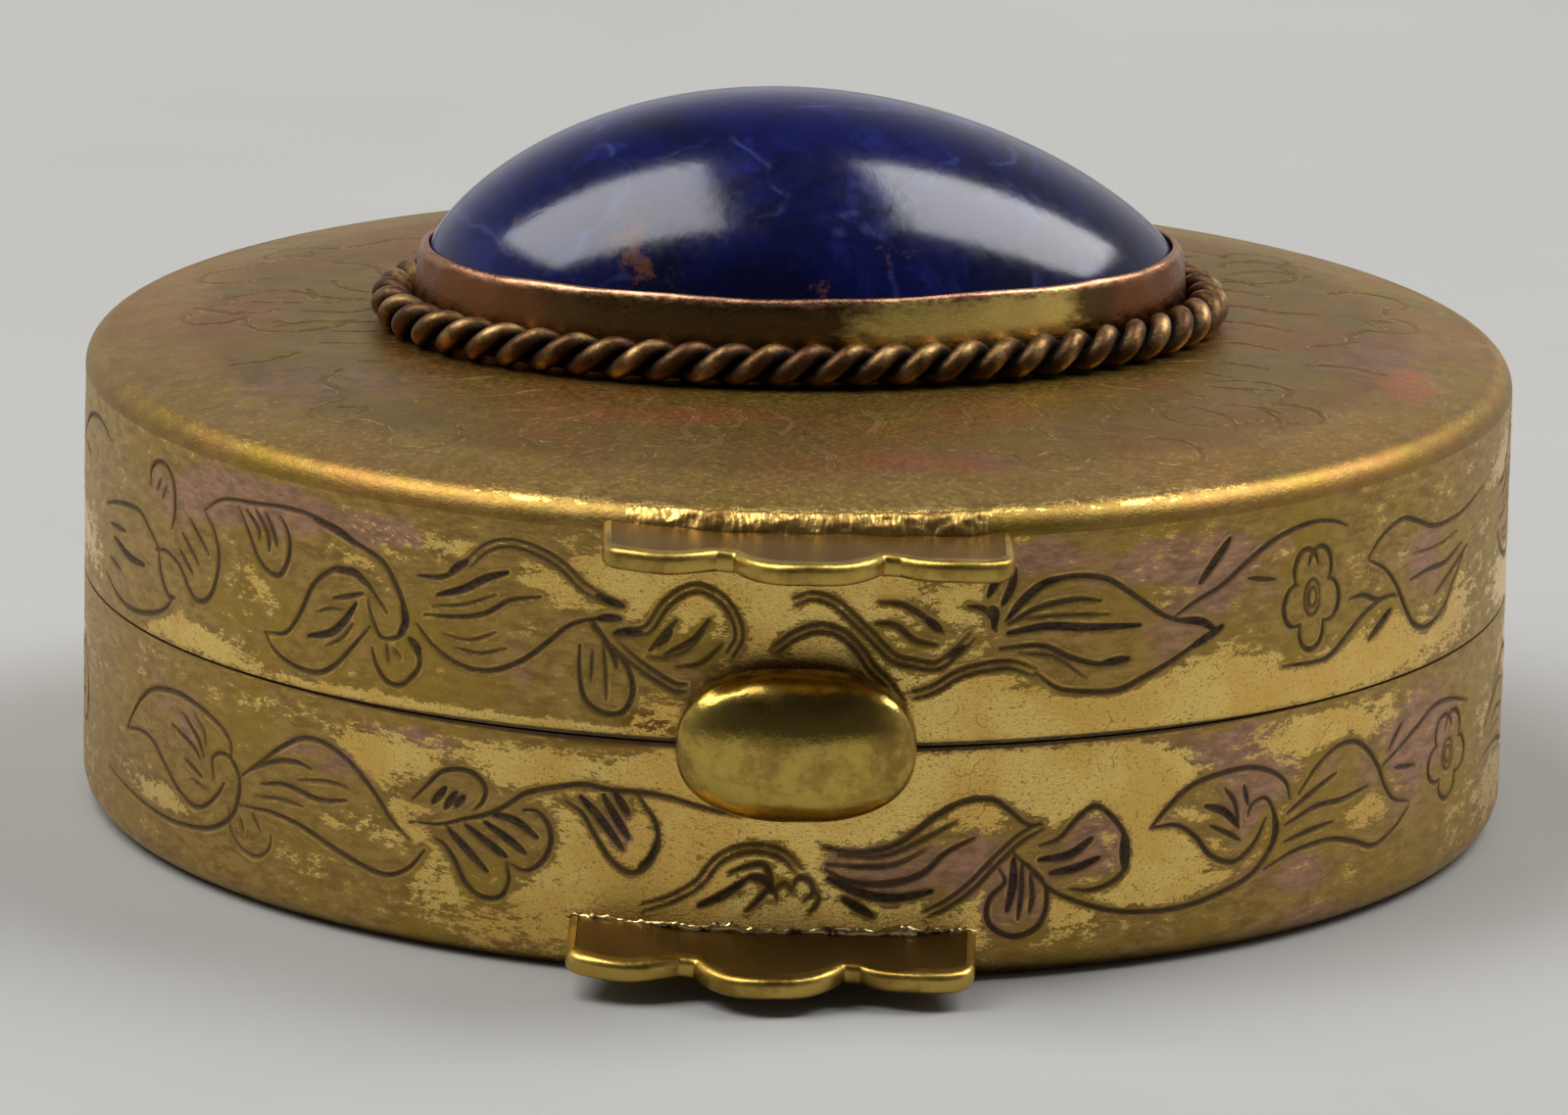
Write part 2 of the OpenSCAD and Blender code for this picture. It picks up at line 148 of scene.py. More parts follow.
def blend(low, high, value):
    """Smooth step from 0 at low to 1 at high."""
    t = np.clip((value - low) / (high - low), 0, 1)
    return t * t * (3 - 2 * t)


def curve(points, steps=7):
    """Catmull-Rom curve through the drawn points."""
    p = np.array(points, float)
    if len(p) < 3:
        t = np.linspace(0, 1, steps + 1)[:, None]
        return p[0] * (1 - t) + p[-1] * t
    p = np.vstack([2 * p[0] - p[1], p, 2 * p[-1] - p[-2]])
    t = np.linspace(0, 1, steps, endpoint=False)[:, None]
    parts = []
    for a, b, c, d in zip(p, p[1:], p[2:], p[3:]):
        square, cube = (2 * a - 5 * b + 4 * c - d) * t**2, (3 * b - a - 3 * c + d) * t**3
        parts.append(0.5 * (2 * b + (c - a) * t + square + cube))
    return np.vstack(parts + [p[-2:-1]])


# ---- Engraving ----

LINE, FINE, BOLD, TWIN = 0.2, 0.15, 0.3, 0.15


class Canvas:
    """Flat drawing board. Each cell knows its distance to the edge of the nearest cut, negative inside it."""

    REACH = 0.6

    def __init__(self, low, high, step, wraps):
        self.low, self.step, self.wraps = np.array(low, float), step, wraps
        size = np.round((np.array(high) - self.low) / step).astype(int)
        self.columns, self.rows = int(size[0]), int(size[1]) + 1
        if wraps:
            self.step_x = (high[0] - low[0]) / self.columns
        else:
            self.columns += 1
            self.step_x = step
        self.cut = np.full((self.rows, self.columns), self.REACH)
        self.ink = np.zeros((self.rows, self.columns))
        self.leaf = np.zeros((self.rows, self.columns))

    def window(self, low, high):
        """Row and column numbers, and the points they stand for, around a box."""
        c0 = int(math.floor((low[0] - self.low[0]) / self.step_x))
        c1 = int(math.ceil((high[0] - self.low[0]) / self.step_x)) + 1
        r0 = max(0, int(math.floor((low[1] - self.low[1]) / self.step)))
        r1 = min(self.rows, int(math.ceil((high[1] - self.low[1]) / self.step)) + 1)
        if not self.wraps:
            c0, c1 = max(0, c0), min(self.columns, c1)
        if c1 <= c0 or r1 <= r0:
            return None
        columns, rows = np.arange(c0, c1), np.arange(r0, r1)
        x = self.low[0] + columns * self.step_x
        y = self.low[1] + rows * self.step
        return np.ix_(rows, columns % self.columns), x[None, :], y[:, None]

    def stroke(self, path, width, ink):
        """Graver cut along path, thin where it starts and ends."""
        p = np.asarray(path)
        along = np.linspace(0, 1, len(p))
        half = width / 2 * (0.3 + 0.7 * np.sin(math.pi * np.clip(along, 0.02, 0.98)) ** 0.5)
        for a, b, ha, hb in zip(p, p[1:], half, half[1:]):
            found = self.window(np.minimum(a, b) - self.REACH, np.maximum(a, b) + self.REACH)
            if found is None:
                continue
            cells, x, y = found
            d = b - a
            t = np.clip(((x - a[0]) * d[0] + (y - a[1]) * d[1]) / max(d @ d, 1e-9), 0, 1)
            away = np.hypot(x - a[0] - t * d[0], y - a[1] - t * d[1]) - (ha + (hb - ha) * t)
            nearer = away < self.cut[cells]
            self.cut[cells] = np.where(nearer, away, self.cut[cells])
            self.ink[cells] = np.where(nearer, ink, self.ink[cells])

    def fill(self, path):
        """Marks the inside of a closed path."""
        p = np.asarray(path)
        found = self.window(p.min(0), p.max(0))
        if found is None:
            return
        cells, x, y = found
        inside = np.zeros((y.shape[0], x.shape[1]), bool)
        for a, b in zip(p, np.roll(p, -1, axis=0)):
            if a[1] == b[1]:
                continue
            spans = (a[1] > y) != (b[1] > y)
            inside ^= spans & (x < (b[0] - a[0]) * (y - a[1]) / (b[1] - a[1]) + a[0])
        self.leaf[cells] = np.maximum(self.leaf[cells], inside)

    def soften_leaves(self, passes=24):
        for _ in range(passes):
            padded = np.pad(self.leaf, 1, mode="edge")
            if self.wraps:
                padded[1:-1, 0], padded[1:-1, -1] = self.leaf[:, -1], self.leaf[:, 0]
            self.leaf = (padded[:-2, 1:-1] + padded[2:, 1:-1] + padded[1:-1, :-2] + padded[1:-1, 2:]) / 4

    def sample(self, layer, x, y):
        """Layer's values at points, between cells."""
        fx = (x - self.low[0]) / self.step_x
        fy = np.clip((y - self.low[1]) / self.step, 0, self.rows - 1.001)
        if not self.wraps:
            fx = np.clip(fx, 0, self.columns - 1.001)
        x0, y0 = np.floor(fx).astype(int), np.floor(fy).astype(int)
        tx, ty = fx - x0, fy - y0
        x0, x1 = x0 % self.columns, (x0 + 1) % self.columns
        low = layer[y0, x0] * (1 - tx) + layer[y0, x1] * tx
        high = layer[y0 + 1, x0] * (1 - tx) + layer[y0 + 1, x1] * tx
        return low * (1 - ty) + high * ty


def sideways(path, distance):
    """Path moved to its left by distance."""
    along = np.gradient(path, axis=0)
    along /= np.maximum(np.linalg.norm(along, axis=1, keepdims=True), 1e-9)
    return path + distance * np.stack([-along[:, 1], along[:, 0]], axis=1)


def engrave(canvas, motif, shift=0.0, centre=None):
    """Cuts a motif: its leaves' edges, veins and bold strokes. centre mirrors it about that u."""
    def place(points):
        path = curve(points)
        if centre is not None:
            path[:, 0] = 2 * centre - path[:, 0]
        path[:, 0] += shift
        return path

    for points in motif.get("inside", ()):
        canvas.fill(place(points))
    for points in motif.get("twin", ()):
        path = place(points)
        for side in (-1, 1):
            canvas.stroke(sideways(path, 0.13 * side), TWIN, 0.75)
    for kind, width, ink in (("fine", FINE, 0.65), ("line", LINE, 0.85), ("bold", BOLD, 1.0)):
        for points in motif.get(kind, ()):
            canvas.stroke(place(points), width, ink)


BIG_LEAF = {
    "inside": [
        [(-13.2, 12.9), (-11.3, 13.6), (-9.6, 14.5), (-7.8, 13.9), (-5.8, 12.6), (-7.6, 11.9),
         (-9.3, 10.5), (-11.5, 10.1), (-13.2, 11.3)],
    ],
    "twin": [
        [(-11.3, 13.6), (-10.5, 14.3), (-9.6, 14.5), (-8.6, 14.3), (-7.8, 13.9), (-7.1, 13.3),
         (-6.4, 12.95)],
    ],
    "line": [
        [(-13.2, 12.95), (-12.2, 13.05), (-11.3, 13.6)],
        [(-13.2, 11.3), (-12.5, 10.6), (-11.5, 10.1), (-10.4, 10.05), (-9.3, 10.5), (-8.4, 11.2),
         (-7.6, 11.9), (-6.8, 12.2), (-5.9, 12.3)],
        [(-12.9, 11.65), (-11.6, 11.75), (-10.6, 12.0), (-9.7, 12.55), (-8.6, 12.8)],
    ],
    "bold": [
        [(-12.4, 12.4), (-11.4, 12.75), (-10.6, 13.2), (-9.8, 13.5)],
        [(-6.6, 13.05), (-6.1, 12.85), (-5.7, 12.75)], [(-6.6, 12.25), (-6.2, 12.3), (-5.8, 12.3)],
        [(-11.9, 13.3), (-11.3, 13.7)],
    ],
    "fine": [
        [(-12.2, 11.1), (-11.2, 11.0), (-10.2, 11.4)], [(-12.6, 12.0), (-11.4, 12.2), (-10.2, 12.7)],
        [(-11.8, 10.7), (-10.8, 10.6), (-9.8, 10.9)],
    ],
}
HANGING_BUD = {
    "inside": [
        [(-7.2, 11.3), (-7.2, 10.2), (-6.4, 9.05), (-5.4, 9.8), (-5.9, 11.2), (-6.6, 12.0)],
    ],
    "line": [
        [(-7.2, 11.3), (-7.2, 10.4), (-7.0, 9.5), (-6.4, 9.05), (-5.7, 9.1), (-5.35, 9.8), (-5.5, 10.6),
         (-6.0, 11.2), (-6.8, 12.0)],
        [(-6.8, 12.2), (-6.1, 11.2), (-5.9, 10.6)],
    ],
    "fine": [
        [(-6.75, 11.2), (-6.8, 10.1)], [(-6.4, 11.5), (-6.3, 10.5), (-6.25, 9.5)],
    ],
}
KIDNEY_BUD = {
    "twin": [
        [(-5.9, 11.8), (-5.2, 11.9), (-4.8, 12.1), (-4.3, 12.9), (-3.7, 13.4), (-3.1, 13.55),
         (-2.4, 13.2), (-1.95, 12.6), (-1.8, 11.9), (-2.1, 11.3)],
        [(-6.0, 11.5), (-5.3, 10.9), (-4.5, 10.4), (-3.9, 10.1), (-3.5, 10.1)],
    ],
    "fine": [
        [(-4.9, 11.1), (-4.2, 11.1), (-3.4, 11.5), (-2.8, 12.4)],
        [(-3.9, 10.8), (-3.0, 11.0), (-2.3, 11.7)],
    ],
    "line": [
        [(-4.8, 11.3), (-3.9, 12.4)], [(-4.3, 11.2), (-3.3, 11.8), (-2.8, 12.5)],
    ],
    "bold": [
        [(-6.0, 11.8), (-5.5, 11.9), (-5.1, 11.9)], [(-4.5, 11.5), (-4.1, 12.0)],
    ],
}
LEFT_LEAF = {
    "inside": [
        [(-19.9, 9.85), (-18.2, 10.8), (-16.8, 12.55), (-15.4, 12.5), (-14.4, 11.5), (-15.9, 10.0),
         (-17.4, 8.9), (-19.0, 9.1)],
    ],
    "line": [
        [(-19.9, 9.85), (-18.9, 10.0), (-18.2, 10.8), (-17.6, 11.9), (-16.8, 12.55), (-16.2, 12.7),
         (-15.4, 12.5), (-14.8, 11.9), (-14.4, 11.5)],
        [(-19.9, 9.85), (-19.4, 9.3), (-18.5, 8.95), (-17.4, 8.9), (-16.6, 9.3), (-15.9, 10.0),
         (-15.1, 10.9)],
        [(-16.7, 11.6), (-16.0, 11.8), (-15.4, 12.0)],
    ],
    "bold": [
        [(-17.8, 10.1), (-16.8, 10.4), (-16.2, 10.9), (-15.7, 11.6)],
        [(-16.6, 12.6), (-15.8, 12.65), (-15.2, 12.3)],
    ],
    "fine": [
        [(-17.0, 9.9), (-16.3, 10.3), (-15.8, 10.9)], [(-17.4, 11.0), (-16.9, 11.2), (-16.2, 11.3)],
    ],
}
STEM_HOOK = {
    "line": [
        [(-23.3, 13.4), (-22.2, 14.0), (-20.5, 14.2), (-18.5, 14.35), (-16.8, 14.1), (-15.8, 13.7),
         (-14.6, 13.2), (-14.0, 12.4), (-13.7, 11.7), (-13.7, 11.0), (-14.0, 10.7), (-14.6, 10.6),
         (-15.0, 11.2), (-15.2, 11.8)],
    ],
    "bold": [
        [(-17.6, 14.2), (-16.6, 14.0), (-15.6, 13.6)], [(-13.8, 12.0), (-13.65, 11.3), (-13.9, 10.8)],
    ],
}
SMALL_BUD = {
    "line": [
        [(-15.0, 10.2), (-14.8, 9.6), (-14.4, 9.15), (-13.9, 9.05), (-13.5, 9.3), (-13.1, 9.8),
         (-13.1, 10.3), (-13.4, 10.7)],
    ],
    "fine": [
        [(-14.4, 10.4), (-14.3, 9.8)], [(-14.1, 10.3), (-13.8, 10.0)],
    ],
    "bold": [
        [(-13.1, 10.2), (-13.2, 10.5), (-13.5, 10.75)],
    ],
}
HATCHED_BUD = {
    "line": [
        [(-21.3, 13.9), (-20.8, 13.2), (-20.3, 12.4), (-19.8, 12.0), (-19.2, 11.95), (-18.8, 12.5),
         (-18.7, 13.2), (-18.9, 13.7), (-19.2, 14.0)],
        [(-20.9, 13.9), (-20.3, 13.4), (-20.2, 13.0)], [(-20.4, 14.0), (-19.8, 13.3), (-19.7, 12.7)],
        [(-19.9, 14.0), (-19.5, 13.4), (-19.3, 12.9)],
    ],
}
ROUND_BUD = {
    "line": [
        [(-23.2, 13.3), (-22.7, 12.8), (-22.4, 12.0), (-22.6, 11.0), (-23.1, 10.3), (-23.8, 10.15),
         (-24.3, 10.5), (-24.9, 11.1), (-25.8, 11.4), (-26.6, 11.3)],
        [(-24.9, 11.7), (-24.0, 11.0)], [(-24.7, 12.3), (-23.6, 11.4)], [(-24.2, 12.9), (-23.0, 11.9)],
    ],
}
LOOP = {
    "line": [
        [(-27.0, 13.5), (-27.0, 14.0), (-26.5, 14.4), (-25.8, 14.4), (-25.3, 13.9), (-25.2, 13.0),
         (-25.4, 12.3)],
    ],
    "fine": [
        [(-26.5, 13.4), (-26.2, 13.9)], [(-26.1, 13.2), (-25.8, 13.7)],
    ],
}
FAR_LEAF = {
    "inside": [
        [(-26.4, 11.2), (-27.9, 12.3), (-31.5, 11.8), (-31.5, 9.3), (-28.6, 8.6), (-26, 9.3),
         (-25.2, 9.9)],
    ],
    "line": [
        [(-26.3, 11.3), (-27, 11.8), (-27.9, 12.3), (-29, 12.3), (-30.3, 12.1), (-31.5, 11.8)],
        [(-25.3, 9.9), (-26, 9.3), (-27.2, 8.9), (-28.6, 8.7), (-30, 8.8), (-31.5, 9.3)],
        [(-26.4, 11.2), (-26.2, 10.5), (-25.7, 9.9), (-25.2, 9.9)], [(-31, 11.2), (-29.3, 11.3)],
        [(-31, 10), (-29.8, 9.8)],
    ],
    "bold": [
        [(-30.5, 10.8), (-29, 10.5), (-27.6, 10.5)],
    ],
}
BUTTON_ARCH = {
    "twin": [
        [(0, 13.2), (0.6, 13.4), (1.3, 13.2), (2.0, 12.6), (2.6, 12.0), (3.3, 11.3), (4.0, 11.1),
         (4.8, 11.0), (5.5, 11.5), (6.0, 12.0)],
        [(-0.6, 11.5), (0, 12), (0.8, 12.3), (1.6, 12.1), (2.2, 11.5), (2.6, 10.9), (3.1, 10.4),
         (3.6, 9.7)],
    ],
    "line": [
        [(2.8, 13.2), (3.6, 13.1), (4.3, 12.7), (5.0, 12.1)],
        [(2.7, 12.5), (3.4, 12.4), (4.0, 11.9), (4.8, 11.7)],
        [(6.8, 12.1), (6.6, 12.6), (6.3, 12.9), (5.8, 13.0)],
    ],
    "bold": [
        [(6.5, 13.3), (6.8, 13.9), (7.0, 14.1)], [(7.0, 13.0), (7.3, 13.6), (7.4, 14.2)],
        [(4.4, 12.6), (4.9, 12.2)], [(5.2, 11.3), (5.7, 11.6)], [(6.7, 12.2), (6.75, 12.7), (6.6, 12.9)],
    ],
}
RIGHT_LEAF = {
    "inside": [
        [(6.9, 12.2), (8.4, 13.6), (10.6, 13.65), (12.8, 12.2), (15.0, 11.4), (13.2, 10.5), (11.2, 9.75),
         (9.0, 10.0), (7.4, 10.9)],
    ],
    "line": [
        [(7.1, 12.4), (7.6, 13.0), (8.4, 13.6), (9.5, 13.8), (10.6, 13.65), (11.4, 13.2), (12.1, 12.7),
         (12.8, 12.2), (13.5, 11.9), (14.3, 11.7), (15.0, 11.4)],
        [(8.2, 10.6), (9.0, 10.0), (10.0, 9.8), (11.2, 9.75), (12.2, 10.1), (13.2, 10.5), (14.2, 11.0),
         (15.3, 11.5)],
        [(7.2, 12.3), (8.2, 12.8), (9.5, 13.0), (10.5, 12.9)],
        [(6.9, 11.5), (8.4, 11.5), (9.5, 11.0), (10.5, 10.7), (11.3, 10.8)],
    ],
    "twin": [
        [(4.0, 10.0), (4.7, 10.2), (5.6, 10.7), (6.6, 10.9), (7.4, 10.9), (8.2, 10.6)],
    ],
    "bold": [
        [(7.2, 12.5), (7.7, 13.1), (8.4, 13.6), (9.2, 13.8)],
        [(7.2, 12.0), (8.6, 12.15), (10, 12.0), (12, 11.9)], [(14.0, 10.9), (14.7, 11.2), (15.3, 11.5)],
        [(13.5, 11.9), (14.4, 11.75), (15.0, 11.4)], [(10.6, 10.7), (11.1, 10.75), (11.6, 10.8)],
    ],
    "fine": [
        [(7.6, 11.3), (8.8, 11.1), (10.0, 10.3)], [(7.8, 12.5), (9.2, 12.5), (10.8, 12.4)],
    ],
}
TWIG = {
    "line": [
        [(13.4, 12.1), (14.2, 12.5), (15.2, 12.9), (16.3, 13.6), (17.5, 14.2), (19, 14.5), (20.2, 14.4),
         (21, 14.1)],
        [(16.3, 13.0), (17.5, 12.8)],
    ],
    "bold": [
        [(14.3, 13.1), (15.5, 14.5)],
    ],
}
UNDER_TWIG = {
    "line": [
        [(18.0, 9.7), (19.5, 9.6), (20.3, 9.7), (21.2, 10.3), (22.2, 10.9), (23.3, 11.2), (24, 11.1)],
        [(21.2, 11.5), (22, 11.5), (22.8, 11.2), (23.8, 11.2)],
    ],
    "bold": [[(22.4, 9.9), (23.6, 10.7)]],
}
END_LEAF = {
    "inside": [
        [(22.2, 12.8), (24.2, 13.75), (27.5, 13.0), (31, 13.5), (29, 11.5), (26.3, 9.6), (24.6, 10.5)],
    ],
    "line": [
        [(22.2, 12.8), (23, 13.4), (24.2, 13.75), (25.2, 13.5), (26.3, 13.1), (27.5, 13.0), (29, 13.1),
         (31, 13.5)],
        [(22.2, 12.7), (23.2, 12.2), (24.0, 11.4), (24.6, 10.5), (25.3, 9.8), (26.3, 9.6), (27.4, 10.0),
         (28.2, 10.8), (29, 11.5)],
        [(24.8, 11.5), (26.2, 11.6), (27.5, 11.6), (28.8, 12.0)],
        [(26.6, 10.6), (28, 11.2), (29.4, 11.8)],
    ],
    "fine": [
        [(25.0, 12.4), (26.6, 12.3), (28.4, 12.5)],
    ],
}


def flower(x, z, rx, rz, turns=(115, 65, -10, -90, 190)):
    """Petals around a double oval."""
    motif = {"line": [], "fine": []}
    for turn in turns:
        a = math.radians(turn)
        mid = (x + 0.62 * rx * math.cos(a), z + 0.62 * rz * math.sin(a))
        petal = []
        for k in range(-4, 5):
            b = a + math.radians(26 * k)
            petal.append((mid[0] + 0.46 * rx * math.cos(b), mid[1] + 0.42 * rz * math.sin(b)))
        motif["line"].append(petal)
    for size in (0.3, 0.16):
        steps = np.linspace(0, 6.4, 9)
        ring = [(x + size * rx * math.cos(t), z + size * 1.2 * rz * math.sin(t)) for t in steps]
        motif["fine"].append(ring)
    return motif


LID_VINE = [
    BIG_LEAF, HANGING_BUD, KIDNEY_BUD, LEFT_LEAF, STEM_HOOK, SMALL_BUD, HATCHED_BUD, ROUND_BUD, LOOP,
    FAR_LEAF,
    BUTTON_ARCH, RIGHT_LEAF, TWIG, UNDER_TWIG, END_LEAF, flower(19.3, 11.9, 1.25, 1.75),
]

FAN_LEAF = {
    "inside": [
        [(-21.0, 4.6), (-19, 6.0), (-17, 6.5), (-15.2, 5.5), (-13.4, 3.8), (-12.8, 3.3), (-14.3, 2.4),
         (-16.8, 3.0), (-19.5, 3.6), (-21.2, 3.5)],
    ],
    "line": [
        [(-21.0, 4.6), (-20, 5.3), (-19, 6.0), (-18, 6.5), (-17, 6.5), (-16, 6.1), (-15.2, 5.5),
         (-14.6, 4.9), (-14.1, 4.3), (-13.4, 3.8)],
        [(-21.2, 3.5), (-19.5, 3.6), (-18, 3.4), (-16.8, 3.0), (-15.5, 2.6), (-14.3, 2.4), (-13.4, 2.8),
         (-12.8, 3.5)],
        [(-20.5, 4.9), (-19.4, 5.4), (-18.4, 5.6), (-17.6, 5.5)],
        [(-20, 4.5), (-18.8, 4.7), (-17.2, 4.5), (-16, 4.7)],
    ],
    "fine": [
        [(-20.3, 4.0), (-19, 4.15), (-18, 4.1)], [(-18.2, 5.0), (-16.8, 5.2), (-15.9, 5.1)],
    ],
}
CURL_LEAF = {
    "inside": [
        [(-29, 4.4), (-26.8, 6.3), (-23.8, 6.5), (-21.6, 5.0), (-22, 4.1), (-24, 2.9), (-26.8, 4.5)],
    ],
    "line": [
        [(-29, 4.4), (-28, 5.5), (-26.8, 6.3), (-25.2, 6.6), (-23.8, 6.5), (-22.4, 6.1), (-21.7, 5.6),
         (-21.6, 5.0)],
        [(-29, 4.4), (-27.8, 4.6), (-26.8, 4.5), (-26, 4.0), (-25, 3.3), (-24, 2.9), (-23.2, 3.0),
         (-22.4, 3.6), (-22, 4.1)],
        [(-22.6, 4.1), (-22.7, 4.8), (-22.2, 5.1), (-21.6, 5.0), (-21.2, 4.5), (-21.2, 3.8), (-21.6, 3.0),
         (-22.6, 2.4), (-24, 2.1), (-26, 2.0), (-28.5, 2.2), (-31, 2.5)],
        [(-25.3, 5.4), (-24, 5.0), (-23.4, 4.6)], [(-24.6, 6.0), (-23.6, 5.3), (-23.2, 4.7)],
        [(-24.4, 4.4), (-23.3, 4.0)],
    ],
    "fine": [
        [(-23.8, 6.1), (-23.2, 5.6), (-23.1, 5.1)], [(-24, 3.8), (-23, 3.6)],
        [(-21.7, 3.3), (-21.6, 2.5), (-21.0, 2.0), (-20.2, 1.9), (-19.6, 2.3), (-19.5, 2.8)],
        [(-21.1, 3.1), (-20.9, 2.6)], [(-20.5, 3.4), (-20.0, 2.8)],
    ],
}
STEM_BUD = {
    "inside": [[(-13.3, 5.2), (-12.2, 6.3), (-10.9, 6.4), (-10.6, 5.5), (-11.5, 4.9)]],
    "line": [
        [(-13.3, 5.2), (-12.7, 5.8), (-12.2, 6.3), (-11.5, 6.5), (-10.9, 6.4), (-10.5, 6.0), (-10.6, 5.5),
         (-10.9, 5.2)],
        [(-13.4, 4.4), (-12.2, 4.5), (-11.3, 4.8), (-10.4, 5.1), (-9.7, 5.5), (-9, 6.0), (-8, 6.3), (-7, 6.5),
         (-6, 6.4), (-5, 6.4), (-4, 6.3), (-2.8, 6.0), (-1.6, 5.8)],
    ],
    "bold": [[(-12.5, 5.2), (-12.0, 5.8)], [(-12.0, 5.1), (-11.6, 5.7)], [(-11.6, 5.2), (-11.3, 5.6)]],
}
FINGERS = {
    "inside": [
        [(-10.2, 5.1), (-9.1, 5.4), (-8.1, 4.4), (-9.0, 3.3), (-10.0, 2.2), (-11.2, 2.6), (-12.0, 3.8),
         (-11.4, 4.6)],
    ],
    "line": [
        [(-9.1, 5.4), (-8.6, 5.4), (-8.2, 5.0), (-8.1, 4.4), (-8.4, 3.7), (-9.0, 3.3), (-9.6, 3.5)],
        [(-9.7, 3.5), (-9.6, 2.9), (-9.9, 2.3), (-10.6, 2.2), (-11.2, 2.6), (-11.6, 3.3), (-12.0, 3.8),
         (-12.4, 4.0)],
    ],
    "bold": [
        [(-10.2, 5.1), (-9.4, 5.0), (-8.6, 4.5)], [(-11.9, 4.4), (-11.2, 3.8), (-10.4, 3.1)],
        [(-11.2, 4.6), (-10.2, 4.0), (-9.7, 3.7)], [(-10.5, 4.8), (-9.6, 4.3), (-9.0, 3.9)],
    ],
}
FINGER_LEAF = {
    "inside": [
        [(-7.6, 5.9), (-6.5, 4.7), (-5.4, 3.6), (-4.4, 4.6), (-4.9, 6.0), (-5.1, 6.3)],
    ],
    "line": [
        [(-7.6, 5.9), (-7.0, 5.5), (-6.5, 4.7), (-6.0, 4.0), (-5.4, 3.6), (-4.8, 3.8), (-4.4, 4.6),
         (-4.5, 5.4), (-4.9, 6.0), (-5.1, 6.3)],
    ],
    "bold": [
        [(-7.1, 6.1), (-6.4, 5.4), (-5.6, 4.4)], [(-6.3, 6.2), (-5.8, 5.4), (-5.4, 4.8)],
        [(-5.9, 6.3), (-5.4, 5.6)], [(-5.0, 3.8), (-4.6, 4.2), (-4.4, 4.8)],
    ],
}
TAB_CURL = {
    "twin": [
        [(-4.9, 2.4), (-3.9, 2.8), (-3.0, 3.4), (-2.4, 4.2), (-1.7, 4.6), (-0.9, 4.7), (-0.2, 4.5),
         (0.3, 4.0)],
    ],
    "line": [
        [(-2.0, 3.8), (-1.3, 4.1), (-0.8, 4.1), (-0.6, 3.5), (-1.0, 2.9), (-1.4, 2.5)],
    ],
    "bold": [
        [(-3.0, 2.6), (-2.2, 3.0), (-1.4, 3.6)], [(-1.3, 3.7), (-0.8, 3.6), (-0.5, 3.2)],
    ],
    "fine": [
        [(0.1, 3.3), (0.3, 3.7), (0.7, 3.6), (0.8, 3.2), (0.5, 2.9)],
        [(-0.4, 2.9), (-0.4, 3.3), (-0.1, 3.5), (0.1, 3.2)], [(0.7, 2.5), (1.0, 2.9), (0.9, 3.3)],
    ],
}
LONG_LEAF = {
    "inside": [
        [(1.1, 4.8), (3.4, 4.8), (5.0, 5.9), (6.8, 6.3), (8.4, 5.3), (7.0, 4.2), (5.4, 2.8), (3.5, 2.9),
         (1.3, 3.6)],
    ],
    "twin": [
        [(8.6, 5.3), (7.8, 4.9), (7.0, 4.2), (6.2, 3.4), (5.4, 2.8), (4.6, 2.4)],
    ],
    "line": [
        [(1.1, 4.8), (2.2, 4.6), (3.4, 4.8), (4.2, 5.3), (5.0, 5.9), (5.9, 6.3), (6.8, 6.3), (7.4, 5.9),
         (8.0, 5.4), (8.6, 5.3)],
        [(1.2, 4.0), (2.0, 3.6), (3.2, 3.5), (4.4, 3.8), (5.2, 4.5), (6.2, 5.0)],
    ],
    "fine": [
        [(1.2, 4.2), (2.5, 4.1), (3.6, 4.2), (4.6, 4.7)],
        [(1.6, 4.5), (3.2, 4.5), (4.6, 5.1), (5.6, 5.6)],
    ],
    "bold": [
        [(1.3, 3.7), (2.4, 3.2), (3.5, 3.0), (4.8, 3.2)], [(1.8, 3.0), (2.8, 2.4)],
    ],
}
STRIPED_BUD = {
    "inside": [
        [(7.1, 3.9), (7.3, 3.3), (6.7, 2.2), (7.4, 1.5), (8.5, 1.8), (8.7, 3.3), (8.1, 4.0)],
    ],
    "line": [
        [(7.1, 3.9), (7.3, 3.4), (6.8, 2.9), (6.7, 2.2), (7.1, 1.7), (7.8, 1.5), (8.5, 1.8), (8.8, 2.5),
         (8.7, 3.3), (8.1, 4.0)],
        [(7.9, 4.0), (7.9, 3.0), (7.8, 2.1)], [(8.2, 3.6), (8.3, 2.9), (8.2, 2.3)],
    ],
    "bold": [
        [(7.6, 4.2), (7.6, 3.3), (7.4, 2.4)],
    ],
}
BEAN_BUD = {
    "inside": [
        [(8.5, 4.6), (9.8, 5.4), (10.5, 5.8), (11.7, 4.5), (11.2, 3.1), (9.6, 3.0), (8.6, 3.8)],
    ],
    "line": [
        [(8.5, 4.6), (9.2, 4.8), (9.8, 5.4), (10.5, 5.8), (11.2, 5.3), (11.7, 4.5), (11.7, 3.6),
         (11.2, 3.1), (10.4, 2.9), (9.6, 3.0)],
    ],
    "bold": [
        [(8.5, 4.1), (9.6, 4.2), (10.4, 4.7)], [(8.9, 3.6), (9.8, 3.7), (10.7, 4.0)],
        [(11.6, 4.7), (11.6, 3.6)],
    ],
}
